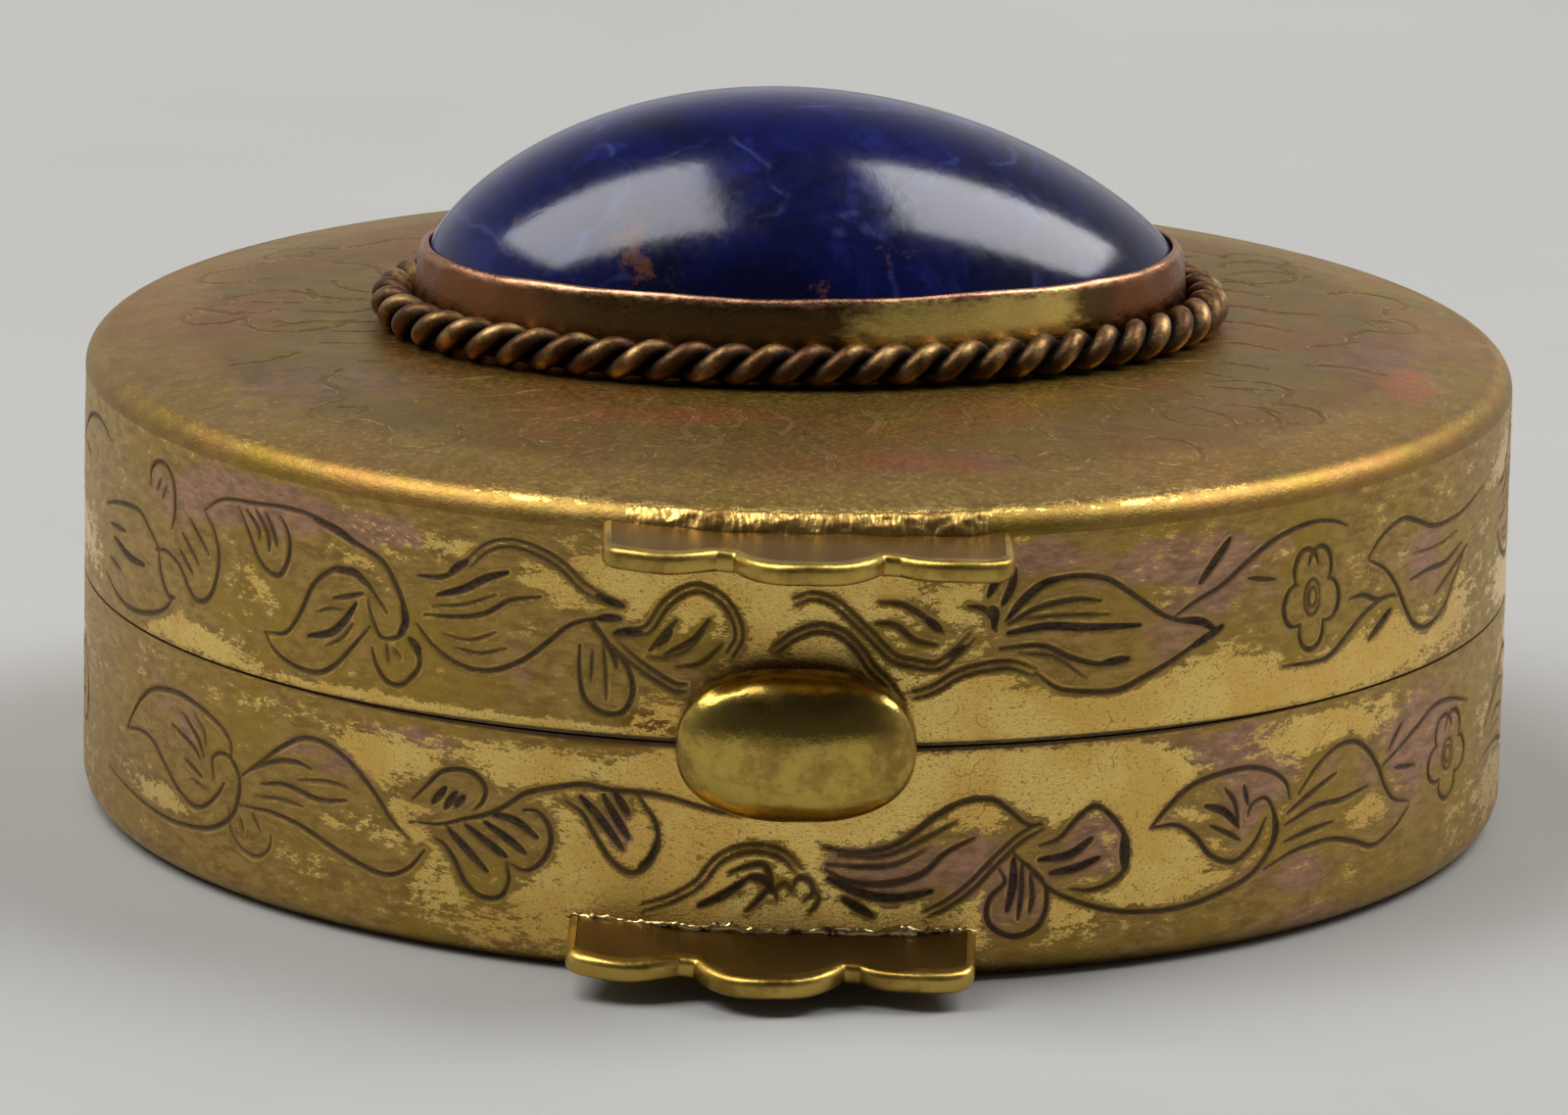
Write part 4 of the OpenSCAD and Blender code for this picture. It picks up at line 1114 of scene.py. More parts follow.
def solder_seam(name, body, z, turn, seed, size, material):
    """Ragged line of solder in the corner between a tab and the wall."""
    draw = np.random.default_rng(seed)
    steps, sides = 150, 10
    lean = math.radians(TAB_TILT)
    half = TAB_W / 2 + 0.1
    x = np.linspace(-half, half, steps)
    fat = 1 + 0.35 * np.convolve(draw.normal(size=steps + 8), np.ones(9) / 3, "valid")
    fat = size * np.clip(fat, 0.5, 2) * np.clip((half - abs(x)) / 0.5 + 0.3, 0, 1)
    wander = 0.035 * np.convolve(draw.normal(size=steps + 4), np.ones(5) / 2.2, "valid")
    ring = np.linspace(0, 2 * math.pi, sides, endpoint=False)
    lumps = 1 + 0.1 * draw.normal(size=(steps, sides))
    r = CASE_R + fat[:, None] * 0.75 * lumps * np.cos(ring)
    height = z - x[:, None] * math.tan(lean) + wander[:, None] + fat[:, None] * 1.1 * lumps * np.sin(ring)
    x = np.broadcast_to(x[:, None], r.shape)
    grid = np.stack([x, -np.sqrt(r * r - x * x), height], axis=-1)
    grid = moved(grid, Matrix.Rotation(math.radians(turn), 4, "Z"))
    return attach(tidy_normals(grid_object(name, grid, material, caps=True, sharp=80)), body)


def push_button(material):
    """Oval dome, hollowed behind to follow the wall."""
    low, high = extent("button_dome")
    half_w, half_h = (high[0] - low[0]) / 2, (high[2] - low[2]) / 2
    mid_x, mid_z = (high[0] + low[0]) / 2, (high[2] + low[2]) / 2
    gap, rim, depth, power = 0.8, 0.5, 1.5, 2.4
    turn = np.linspace(0, 2 * math.pi, 160, endpoint=False)
    cosine, sine = np.cos(turn), np.sin(turn)
    oval_x = half_w * np.sign(cosine) * np.abs(cosine) ** (2 / power)
    oval_z = half_h * np.sign(sine) * np.abs(sine) ** (2 / power)

    def back(k):
        x = mid_x + k * oval_x
        return x, -np.sqrt((CASE_R + gap) ** 2 - x**2), mid_z + k * oval_z

    rim_y = -CASE_R - gap - rim
    rows = [back(k) for k in (0.05, 0.4, 0.7, 0.9, 0.97, 1.0)]
    x, y, z = rows[-1]
    rows += [(x, y * (1 - t) + rim_y * t, z) for t in (0.1, 0.55)]
    for lift in np.linspace(0, 89, 34):
        k, out = math.cos(math.radians(lift)), math.sin(math.radians(lift))
        rows.append((mid_x + k * oval_x, np.full(turn.shape, rim_y - depth * out), mid_z + k * oval_z))
    grid = np.array([np.stack(row, axis=-1) for row in rows])
    obj = tidy_normals(grid_object("push_button", grid, material, caps=True, sharp=50))
    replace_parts(obj, "button_dome")
    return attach(obj, "button")


# ---- Stone setting ----

def on_setting(points):
    matrix = Matrix.Rotation(SETTING_TURN, 4, "Z") @ Matrix.Translation((0, 0, 0))
    return moved(points, Matrix.Translation((0, 0, SEAT_Z)) @ matrix)


def bezel(material):
    """Burnished collar round the stone, a little uneven where the tool pressed it over."""
    turn = np.linspace(0, 2 * math.pi, 420, endpoint=False)
    section = [
        (0.0, 0.0), (0.0, 0.7), (0.0, 1.3), (0.03, 1.8), (0.07, 2.2), (0.12, 2.5), (0.17, 2.68), (0.23, 2.8),
        (0.31, 2.88), (0.4, 2.9), (0.47, 2.88), (0.5, 2.83), (0.45, 2.68), (0.39, 2.4), (0.38, 1.3),
        (0.38, 0.0),
    ]
    rows = []
    for inset, height in section:
        over = height / BEZEL_H
        uneven = 0.03 * np.sin(9 * turn + 1) + 0.025 * np.sin(23 * turn) + 0.015 * np.sin(41 * turn + 2)
        pressed = inset + uneven * over**2 * (0 if inset > 0.35 else 1)
        lift = over**3 * (0.035 * np.sin(6 * turn + 2) + 0.02 * np.sin(15 * turn))
        rows.append(np.stack([
            (BEZEL_A - pressed) * np.cos(turn),
            (BEZEL_B - pressed) * np.sin(turn),
            height + lift - 0.03 * over,
        ], axis=-1))
    obj = grid_object("bezel", on_setting(np.array(rows)), material, closed_rows=True, sharp=60)
    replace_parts(tidy_normals(obj), "bezel_wall")
    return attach(obj, "lid")


def stone(material):
    """Cabochon, crowned a little to the left of its middle."""
    a, b = BEZEL_A - STONE_FIT, BEZEL_B - STONE_FIT
    girdle = BEZEL_H - GIRDLE_DROP
    turn = np.linspace(0, 2 * math.pi, 256, endpoint=False)
    levels = [(0.96, 0, 0.42), (1, 0, 1.2), (1, 0, girdle)]
    for rise in np.linspace(1, 89.4, 72):
        k = math.cos(math.radians(rise))
        lift = (1 - k * k) ** DOME_POWER
        levels.append((k, DOME_APEX_X * lift, girdle + DOME_H * lift))
    rows = [
        np.stack([a * k * np.cos(turn) + x, b * k * np.sin(turn), np.full(turn.shape, z)], axis=-1)
        for k, x, z in levels
    ]
    obj = grid_object("stone", on_setting(np.array(rows)), material, caps=True, sharp=50)
    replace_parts(obj, "cabochon")
    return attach(obj, "lid")


def rope_wire(name, node, phase, material):
    """One wire of the twisted border."""
    a = BEZEL_A + STRAND_OFFSET + WIRE_D / 2 + 0.03
    b = BEZEL_B + STRAND_OFFSET + WIRE_D / 2 + 0.03
    fine = np.linspace(0, 2 * math.pi, 4001)
    steps = np.hypot(np.diff(a * np.cos(fine)), np.diff(b * np.sin(fine)))
    length = np.concatenate([[0], np.cumsum(steps)])
    rings, sides = ROPE_TURNS * 22, 14
    f = np.arange(rings) / rings

    def wire(f):
        u = np.interp(f % 1 * length[-1], length, fine)
        out = np.stack([b * np.cos(u), a * np.sin(u), np.zeros(u.shape)], axis=-1)
        out /= np.linalg.norm(out, axis=1, keepdims=True)
        twist = 2 * math.pi * ROPE_TURNS * f + phase
        away = np.cos(twist)[:, None] * out + np.sin(twist)[:, None] * np.array([0, 0, 1.0])
        core = np.stack([a * np.cos(u), b * np.sin(u), np.full(u.shape, ROPE_Z)], axis=-1)
        return core + STRAND_OFFSET * away, away

    here, away = wire(f)
    along = wire(f + 1e-5)[0] - wire(f - 1e-5)[0]
    along /= np.linalg.norm(along, axis=1, keepdims=True)
    across = np.cross(along, away)
    across /= np.linalg.norm(across, axis=1, keepdims=True)
    out = np.cross(across, along)
    ring = np.linspace(0, 2 * math.pi, sides, endpoint=False)[None, :, None]
    grid = here[:, None] + WIRE_D / 2 * (np.cos(ring) * out[:, None] + np.sin(ring) * across[:, None])
    core = here - STRAND_OFFSET * away
    high = np.linalg.norm(grid - core[:, None], axis=-1) / (STRAND_OFFSET + WIRE_D / 2)
    obj = tidy_normals(grid_object(name, on_setting(grid), material, closed_rows=True, sharp=80))
    paint(obj, high=high)
    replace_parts(obj, node)
    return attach(obj, "lid")


# ---- Linings ----

def spring_leaf(material):
    """Leaf behind the catch nose, copied from the CAD part. Its ends stay on the collar; its middle, which
    gives with the button on the real case, keeps one shape here.
    """
    obj = link(bpy.data.objects.new("spring_leaf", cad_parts["catch_spring"].data.copy()))
    obj.data.materials.clear()
    obj.data.materials.append(material)
    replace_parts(obj, "catch_spring")
    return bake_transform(obj)


def puffed(name, node, body, up, material):
    """Velvet over soft filling, swollen by a cloth simulation that runs forty times life size."""
    grown, voxel, most = 40, 0.024, 0.3 * MM
    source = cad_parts[node]
    mesh = source.data.copy()
    mesh.name = name
    obj = link(bpy.data.objects.new(name, mesh))
    mesh.transform(Matrix.Scale(grown, 4))
    remesh = obj.modifiers.new("remesh", "REMESH")
    remesh.mode, remesh.voxel_size = "VOXEL", voxel
    outline = link(bpy.data.objects.new(f"{name}_outline", mesh.copy()))
    apply(obj, remesh)
    wrap = obj.modifiers.new("outline", "SHRINKWRAP")
    wrap.target = outline
    apply(obj, wrap)
    bpy.data.objects.remove(outline)
    start = coordinates(obj)
    held = obj.vertex_groups.new(name="held")
    edge = np.hypot(start[:, 0], start[:, 1]).max()
    for vertex in obj.data.vertices:
        r = math.hypot(vertex.co.x, vertex.co.y)
        if vertex.normal.z * up < 0.2 or r > edge - 1.5 * voxel:
            held.add([vertex.index], 1.0, "REPLACE")
    cloth = obj.modifiers.new("cloth", "CLOTH")
    cloth.settings.use_pressure = True
    cloth.settings.uniform_pressure_force = 4
    cloth.settings.effector_weights.gravity = 0
    cloth.settings.vertex_group_mass = "held"
    cloth.settings.quality = 6
    for step in range(1, 21):
        bpy.context.scene.frame_set(step)
    apply(obj, cloth)
    now = coordinates(obj)
    move = now - start
    size = np.linalg.norm(move, axis=1, keepdims=True)
    cap = most * grown
    soft = cap * np.tanh(size / cap) / np.maximum(size, 1e-9)
    obj.data.vertices.foreach_set("co", (start + move * soft).astype(np.float32).ravel())
    bpy.context.scene.frame_set(1)
    finer = obj.modifiers.new("finer", "SUBSURF")
    finer.levels = 1
    apply(obj, finer)
    obj.data.transform(Matrix.Scale(1 / grown, 4))
    obj.data.shade_smooth()
    obj.data.materials.clear()
    obj.data.materials.append(material)
    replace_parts(obj, node)
    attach(obj, body)
    return obj


def coordinates(obj):
    values = np.empty(len(obj.data.vertices) * 3, np.float32)
    obj.data.vertices.foreach_get("co", values)
    return values.reshape(-1, 3)


def apply(obj, modifier):
    bpy.context.view_layer.objects.active = obj
    with bpy.context.temp_override(object=obj, active_object=obj, selected_objects=[obj]):
        bpy.ops.object.modifier_apply(modifier=modifier.name)


# ---- Materials ----

def tone(red, green, blue):
    """Linear colour from the 0 to 255 values seen on a screen."""
    def linear(v):
        v /= 255
        return v / 12.92 if v <= 0.04045 else ((v + 0.055) / 1.055) ** 2.4
    return (linear(red), linear(green), linear(blue), 1.0)


class Graph:
    """Node tree of one material. Patterns are placed in millimetres of the object's own space."""

    def __init__(self, name):
        self.material = bpy.data.materials.new(name)
        self.material.use_nodes = True
        tree = self.material.node_tree
        self.nodes, self.links = tree.nodes, tree.links
        self.shader = next(n for n in self.nodes if n.type == "BSDF_PRINCIPLED")
        place = self.nodes.new("ShaderNodeTexCoord").outputs["Object"]
        self.mm = self.stretch(place, (1 / MM, 1 / MM, 1 / MM))

    def feed(self, socket, value):
        if isinstance(value, bpy.types.NodeSocket):
            self.links.new(value, socket)
        else:
            socket.default_value = value

    def stretch(self, vector, scale):
        node = self.nodes.new("ShaderNodeVectorMath")
        node.operation = "MULTIPLY"
        self.feed(node.inputs[0], vector)
        node.inputs[1].default_value = scale
        return node.outputs[0]

    def noise(self, scale, detail=4, rough=0.6, at=None, warp=0.0):
        node = self.nodes.new("ShaderNodeTexNoise")
        self.feed(node.inputs["Vector"], at or self.mm)
        for name, value in (("Scale", scale), ("Detail", detail), ("Roughness", rough), ("Distortion", warp)):
            node.inputs[name].default_value = value
        return node.outputs[0]

    def cells(self, scale, at=None, feature="DISTANCE_TO_EDGE"):
        node = self.nodes.new("ShaderNodeTexVoronoi")
        node.feature = feature
        self.feed(node.inputs["Vector"], at or self.mm)
        node.inputs["Scale"].default_value = scale
        return node.outputs["Distance"]

    def warped(self, scale, amount):
        """Place moved about by noise, so that cells lose their straight edges."""
        node = self.nodes.new("ShaderNodeTexNoise")
        self.feed(node.inputs["Vector"], self.mm)
        node.inputs["Scale"].default_value = scale
        shift = self.stretch(node.outputs["Color"], (amount, amount, amount))
        add = self.nodes.new("ShaderNodeVectorMath")
        self.feed(add.inputs[0], self.mm)
        self.feed(add.inputs[1], shift)
        return add.outputs[0]

    def math(self, operation, a, b=0.0):
        node = self.nodes.new("ShaderNodeMath")
        node.operation = operation
        self.feed(node.inputs[0], a)
        self.feed(node.inputs[1], b)
        return node.outputs[0]

    def times(self, a, b):
        return self.math("MULTIPLY", a, b)

    def without(self, a):
        return self.math("SUBTRACT", 1.0, a)

    def total(self, *terms):
        """Sum of (value, factor, middle) terms. Each value counts from its middle."""
        result = 0.0
        for value, factor, middle in terms:
            part = self.math("MULTIPLY", self.math("SUBTRACT", value, middle), factor)
            result = part if isinstance(result, float) else self.math("ADD", result, part)
        return result

    def step(self, value, low, high, out_low=0.0, out_high=1.0):
        """Value carried smoothly from low..high to out_low..out_high."""
        node = self.nodes.new("ShaderNodeMapRange")
        node.interpolation_type = "SMOOTHSTEP"
        self.feed(node.inputs[0], value)
        if low > high:
            low, high, out_low, out_high = high, low, out_high, out_low
        for i, v in enumerate((low, high, out_low, out_high)):
            node.inputs[i + 1].default_value = v
        return node.outputs[0]

    def mix(self, factor, a, b, mode="MIX"):
        node = self.nodes.new("ShaderNodeMix")
        node.data_type, node.blend_type = "RGBA", mode
        self.feed(node.inputs[0], factor)
        self.feed(node.inputs[6], a)
        self.feed(node.inputs[7], b)
        return node.outputs[2]

    def lerp(self, factor, a, b):
        node = self.nodes.new("ShaderNodeMix")
        self.feed(node.inputs[0], factor)
        self.feed(node.inputs[2], a)
        self.feed(node.inputs[3], b)
        return node.outputs[0]

    def layer(self, name):
        node = self.nodes.new("ShaderNodeAttribute")
        node.attribute_name = name
        return node.outputs["Fac"]

    def part(self, axis):
        node = self.nodes.new("ShaderNodeSeparateXYZ")
        self.feed(node.inputs[0], self.mm)
        return node.outputs[axis]

    def across(self):
        return self.part(0)

    def height(self):
        return self.part(2)

    def bump(self, height, distance, strength=1.0):
        node = self.nodes.new("ShaderNodeBump")
        node.inputs["Strength"].default_value = strength
        node.inputs["Distance"].default_value = distance * MM
        self.feed(node.inputs["Height"], height)
        return node.outputs[0]

    def finish(self, colour, roughness, metallic=1.0, normal=None, **fixed):
        self.feed(self.shader.inputs["Base Color"], colour)
        self.feed(self.shader.inputs["Roughness"], roughness)
        self.feed(self.shader.inputs["Metallic"], metallic)
        if normal is not None:
            self.feed(self.shader.inputs["Normal"], normal)
        for name, value in fixed.items():
            self.shader.inputs[name.replace("_", " ")].default_value = value
        return self.material


GILT = tone(238, 204, 116)
GILT_WARM = tone(228, 186, 98)
OLIVE = tone(186, 153, 86)
OLIVE_DARK = tone(138, 109, 58)
MAUVE = tone(190, 146, 116)
MAUVE_GREY = tone(150, 118, 90)
RUST = tone(200, 128, 84)
SHADE = tone(188, 184, 146)
MOSS = tone(168, 138, 54)
GROOVE = tone(76, 54, 28)
GROOVE_DARK = tone(36, 25, 14)


def aged_gilt():
    """Worn gilding over tarnished brass, with dirt left in the cuts and the burrs beside them lighter, partly
    as a painted highlight. Reads the painted wear layers, which also hold painted shade along the seam.
    """
    g = Graph("aged_gilt")
    flat = g.stretch(g.mm, (1, 1, 2.6))
    broad, middle = g.noise(0.35, 3), g.noise(1.2, 7, 0.68, at=flat)
    small, dust = g.noise(4.5, 5, 0.7, at=flat), g.noise(11, 2)
    cut, ink = g.layer("cut"), g.layer("ink")
    rubbed = g.total(
        (g.layer("worn"), 1.0, 0.0), (broad, 0.8, 0.5), (middle, 1.4, 0.5), (small, 1.0, 0.5),
        (dust, 0.3, 0.5),
    )
    bright = g.step(rubbed, 0.40, 0.47)
    pits = g.step(g.total((dust, 1.0, 0.0), (small, 0.5, 0.5)), 0.60, 0.67)
    hair = g.step(g.cells(0.55, at=g.warped(0.9, 1.4)), 0.012, 0.004)
    hair = g.times(hair, g.step(g.noise(0.8), 0.5, 0.6))
    marks = g.math("MAXIMUM", g.times(pits, 0.8), g.times(hair, 0.8))
    bright = g.times(bright, g.without(marks))
    dirt = g.times(g.step(cut, 0.2, 0.0), g.step(middle, 0.35, 0.6))
    ragged = g.total((cut, 1.0, 0.0), (small, 0.07, 0.5))
    line = g.times(g.step(ragged, 0.03, -0.03), ink)
    line = g.times(line, g.step(small, 0.3, 0.6, 0.75, 1.0))
    # Lighter gilt just outside each cut: partly rubbed metal, partly a painted highlight of the burr catching
    # light.
    burr = g.times(g.step(cut, 0.02, 0.06), g.step(cut, 0.12, 0.07))
    burr = g.times(burr, g.step(g.noise(1.6, 5), 0.48, 0.6))
    # Darker, duller tarnish from the painted layer, which along the seam is painted shade; SHADE multiplies
    # it in below.
    dull = g.step(g.total((g.layer("dull"), 1.0, 0.0), (g.noise(0.3, 7, 0.7), 0.6, 0.5)), 0.1, 0.9)
    calm = g.total((dull, 0.45, 0.0), (g.noise(0.22, 3), 0.9, 0.15))
    olive = g.mix(g.lerp(calm, g.step(middle, 0.35, 0.62), 0.6), OLIVE_DARK, OLIVE)
    moss = g.times(g.step(g.noise(0.26, 5, 0.6), 0.46, 0.66), 0.65)
    olive = g.mix(moss, olive, MOSS)
    mauve = g.mix(g.step(middle, 0.35, 0.62), MAUVE_GREY, MAUVE)
    pinkish = g.step(g.total((g.layer("mauve"), 1.0, 0.0), (g.noise(0.55, 5), 1.6, 0.5)), 0.3, 0.75)
    rusty = g.step(g.total((g.layer("rust"), 1.0, 0.0), (g.noise(0.8, 5, at=flat), 1.4, 0.5)), 0.35, 0.8)
    tarnish = g.mix(g.times(rusty, 0.85), g.mix(pinkish, olive, mauve), RUST)
    warm = g.times(dull, g.step(g.noise(0.16, 5, 0.6), 0.44, 0.62, 0.0, 0.5))
    tarnish = g.mix(warm, tarnish, RUST)
    tarnish = g.mix(dull, tarnish, SHADE, "MULTIPLY")
    gilt = g.mix(g.step(broad, 0.4, 0.6), GILT, GILT_WARM)
    fleck = g.times(g.step(small, 0.58, 0.66), g.math("SUBTRACT", 0.5, g.times(dull, 0.42)))
    fleck = g.times(fleck, g.without(g.times(pinkish, 0.85)))
    metal = g.mix(bright, g.mix(fleck, tarnish, GILT_WARM), gilt)
    metal = g.mix(g.times(burr, 0.6), metal, GILT_WARM)
    metal = g.mix(g.times(dirt, 0.3), metal, GROOVE)
    colour = g.mix(line, metal, g.mix(g.step(middle, 0.4, 0.6), GROOVE, GROOVE_DARK))
    rough = g.lerp(bright, g.step(small, 0.3, 0.7, 0.38, 0.52), g.step(small, 0.3, 0.7, 0.2, 0.3))
    rough = g.lerp(line, rough, 0.7)
    grain = g.total((small, 0.8, 0.5), (dust, 0.35, 0.5), (bright, 0.12, 0.0))
    return g.finish(colour, rough, g.lerp(line, 1.0, 0.35), g.bump(grain, 0.02))


def cast_brass(name, base, stain, rough, seed_scale, cover, lumpy=0.012):
    """Smooth brass that has dulled in patches."""
    g = Graph(name)
    patches = g.step(g.total((g.noise(seed_scale, 6, 0.65), 1.0, 0.0)), 0.5 - cover, 0.5 + cover + 0.08)
    small = g.noise(5, 4)
    colour = g.mix(patches, base, stain)
    colour = g.mix(g.times(g.step(g.noise(9, 2), 0.62, 0.7), 0.6), colour, OLIVE_DARK)
    roughness = g.lerp(patches, rough, min(1.0, rough + 0.16))
    grain = g.total((small, 0.7, 0.5), (g.noise(0.9, 2), 2.0, 0.5))
    return g.finish(colour, roughness, 1.0, g.bump(grain, lumpy))


def tab_metal():
    """Rubbed brass; the upper face is rougher and painted darker, a painted reflection of the case's dark
    wall.
    """
    g = Graph("tab_brass")
    middle, small = g.noise(0.5, 6, 0.65), g.noise(5, 4)
    colour = g.mix(g.step(middle, 0.44, 0.64), tone(190, 160, 80), tone(144, 114, 52))
    face = g.step(g.total((g.layer("face"), 1.0, 0.0), (small, 0.5, 0.5)), 0.4, 1.0)
    # Painted reflection: the upper face darkened as if mirroring the dark wall.
    colour = g.mix(face, colour, tone(120, 92, 44))
    rough = g.lerp(face, g.step(small, 0.3, 0.7, 0.3, 0.4), 0.44)
    return g.finish(colour, rough, 1.0, g.bump(g.total((small, 0.7, 0.5), (middle, 2.0, 0.5)), 0.014))


def bezel_copper():
    """Copper-brown setting with a rubbed, redder lip, a painted gold reflection on its right part and painted
    shade at its foot by the rope.
    """
    g = Graph("bezel_copper")
    flat = g.stretch(g.mm, (1, 1, 2.2))
    middle, small = g.noise(0.9, 6, 0.65, at=flat), g.noise(4, 5, at=flat)
    x = g.across()
    # Painted reflection: a bright gold band over the right part of the wall.
    painted_gold_reflection = g.times(g.step(x, -1.0, 5.0), g.step(x, 11.0, 8.0))
    painted_gold_reflection = g.step(g.total((painted_gold_reflection, 1.0, 0.0), (middle, 1.2, 0.5)), 0.25, 0.85)
    red = g.math("MAXIMUM", g.step(x, -6.0, -11.0), g.step(x, 9.5, 12.0))
    brown = g.mix(painted_gold_reflection, tone(98, 74, 42), tone(248, 214, 120))
    brown = g.mix(g.step(g.total((red, 1.0, 0.0), (middle, 0.8, 0.5)), 0.3, 0.8), brown, tone(122, 80, 50))
    lip = g.step(g.total((g.height(), 1.0, SEAT_Z + 2.6), (middle, 0.8, 0.5)), -0.05, 0.2)
    # Painted shade: the wall darkens towards its foot by the rope.
    foot = g.step(g.height(), SEAT_Z + 1.2, SEAT_Z + 0.3)
    colour = g.mix(lip, brown, tone(168, 122, 92))
    colour = g.mix(g.times(foot, 0.8), colour, tone(52, 36, 20))
    rough = g.step(small, 0.3, 0.7, 0.24, 0.42)
    return g.finish(colour, rough, 1.0, g.bump(g.total((small, 0.6, 0.5), (middle, 1.2, 0.5)), 0.02))


def rope_copper():
    """Twisted wire with painted shade and some grime where the wires meet, and pale crests that are partly a
    painted highlight and partly rubbed metal.
    """
    g = Graph("rope_copper")
    high = g.layer("high")
    middle, small = g.noise(0.7, 4), g.noise(6, 4)
    worn = g.step(g.total((high, 1.0, 0.0), (small, 0.4, 0.5)), 0.62, 1.0)
    brown = g.mix(g.step(middle, 0.4, 0.6), tone(84, 56, 34), tone(110, 82, 46))
    # Painted shade with some grime: dark brown in the hollows where the wires meet.
    colour = g.mix(worn, tone(30, 21, 13), brown)
    # Painted highlight, partly rubbed metal: pale where the wire stands out most.
    crest_highlight_and_wear = g.step(g.total((high, 1.0, 0.0), (middle, 0.8, 0.5)), 0.95, 1.15)
    colour = g.mix(crest_highlight_and_wear, colour, tone(172, 138, 92))
    return g.finish(colour, g.lerp(worn, 0.7, 0.42), 0.9, g.bump(small, 0.02))


def blue_stone():
    """Polished dark blue stone with paler clouds, hairline veins and a few brown grains."""
    g = Graph("blue_stone")
    broad, middle = g.noise(0.14, 5, 0.62, warp=0.6), g.noise(0.5, 6, 0.6, warp=0.8)
    small = g.noise(2.2, 4)
    blue = g.mix(g.step(broad, 0.36, 0.64), tone(5, 7, 34), tone(10, 15, 68))
    blue = g.mix(g.times(g.step(middle, 0.52, 0.72), 0.6), blue, tone(26, 33, 98))
    vein = g.step(g.cells(0.17, at=g.warped(0.35, 3.2)), 0.035, 0.0)
    vein = g.times(vein, g.step(middle, 0.42, 0.62))
    blue = g.mix(g.times(vein, 0.5), blue, tone(56, 62, 112))
    dark = g.step(small, 0.58, 0.7)
    blue = g.mix(g.times(dark, 0.55), blue, tone(5, 5, 26))
    low_part = g.step(g.height(), SEAT_Z + 6.5, SEAT_Z + 3.6)
    left = g.times(g.step(g.across(), -8.0, -5.5), g.step(g.across(), -1.0, -3.5))
    grain = g.total((g.noise(0.55, 5, 0.65), 1.0, 0.0), (left, 0.14, 0.0))
    grain = g.times(g.step(grain, 0.64, 0.72), low_part)
    colour = g.mix(g.times(grain, 0.6), blue, tone(104, 60, 36))
    return g.finish(colour, g.step(small, 0.3, 0.7, 0.13, 0.18), 0.0, g.bump(middle, 0.01), IOR=1.46)


def velvet(name, colour, nap):
    g = Graph(name)
    pile, patch = g.noise(9, 3), g.noise(0.25, 4)
    shade = g.mix(g.step(patch, 0.36, 0.66), colour, nap)
    shade = g.mix(g.step(pile, 0.35, 0.7), tone(8, 8, 24), shade)
    return g.finish(
        shade, 0.9, 0.0, g.bump(pile, 0.12),
        Sheen_Weight=0.7, Sheen_Roughness=0.35, Sheen_Tint=nap,
    )


def card():
    g = Graph("card")
    fibre = g.noise(3.5, 6, 0.7, at=g.stretch(g.mm, (1, 0.35, 1)))
    colour = g.mix(g.step(fibre, 0.35, 0.65), tone(176, 152, 112), tone(206, 186, 148))
    return g.finish(colour, 0.85, 0.0, g.bump(fibre, 0.03))


def spring_steel():
    g = Graph("spring_steel")
    brushed = g.noise(5, 5, at=g.stretch(g.mm, (0.3, 0.3, 4)))
    colour = g.mix(g.step(brushed, 0.35, 0.65), tone(120, 118, 112), tone(172, 170, 164))
    colour = g.mix(g.step(g.noise(0.8), 0.55, 0.7), colour, tone(96, 78, 62))
    return g.finish(colour, g.step(brushed, 0.3, 0.7, 0.25, 0.4), 1.0, g.bump(brushed, 0.01))


def paper_floor():
    g = Graph("paper_floor")
    shade = g.mix(g.step(g.noise(0.02, 3), 0.3, 0.7), tone(155, 154, 151), tone(159, 158, 155))
    return g.finish(shade, 0.8, 0.0)


# ---- Studio ----

def floor():
    size = 6000
    corners = [(-size, -size, 0), (size, -size, 0), (size, size, 0), (-size, size, 0)]
    mesh_object("floor", corners, [(0, 1, 2, 3)], paper_floor())


def surroundings():
    """Pale room, dimmer on the camera's side and overhead."""
    world = bpy.data.worlds.new("studio")
    bpy.context.scene.world = world
    world.use_nodes = True
    nodes, links = world.node_tree.nodes, world.node_tree.links
    place = nodes.new("ShaderNodeTexCoord")
    apart = nodes.new("ShaderNodeSeparateXYZ")
    links.new(place.outputs["Generated"], apart.inputs[0])
    both = nodes.new("ShaderNodeMath")
    both.operation = "MULTIPLY"
    for slot, axis, values in ((0, 1, (-0.95, 0.4, 0.06, 0.62)), (1, 2, (0.2, 0.85, 1.0, 0.14))):
        ramp = nodes.new("ShaderNodeMapRange")
        ramp.interpolation_type = "SMOOTHSTEP"
        links.new(apart.outputs[axis], ramp.inputs[0])
        for i, v in enumerate(values):
            ramp.inputs[i + 1].default_value = v
        links.new(ramp.outputs[0], both.inputs[slot])
    background = nodes["Background"]
    background.inputs["Color"].default_value = tone(250, 250, 252)
    links.new(both.outputs[0], background.inputs["Strength"])


def softbox(name, azimuth, elevation, distance, width, depth, power):
    """Square light that faces the case. azimuth is from the front, positive to the right."""
    light = bpy.data.lights.new(name, "AREA")
    light.shape, light.size, light.size_y, light.energy = "RECTANGLE", width, depth, power
    a, e = math.radians(azimuth), math.radians(elevation)
    place = Vector((math.sin(a) * math.cos(e), -math.cos(a) * math.cos(e), math.sin(e))) * distance
    obj = link(bpy.data.objects.new(name, light))
    obj.location = place
    obj.rotation_euler = (-place).to_track_quat("-Z", "Y").to_euler()


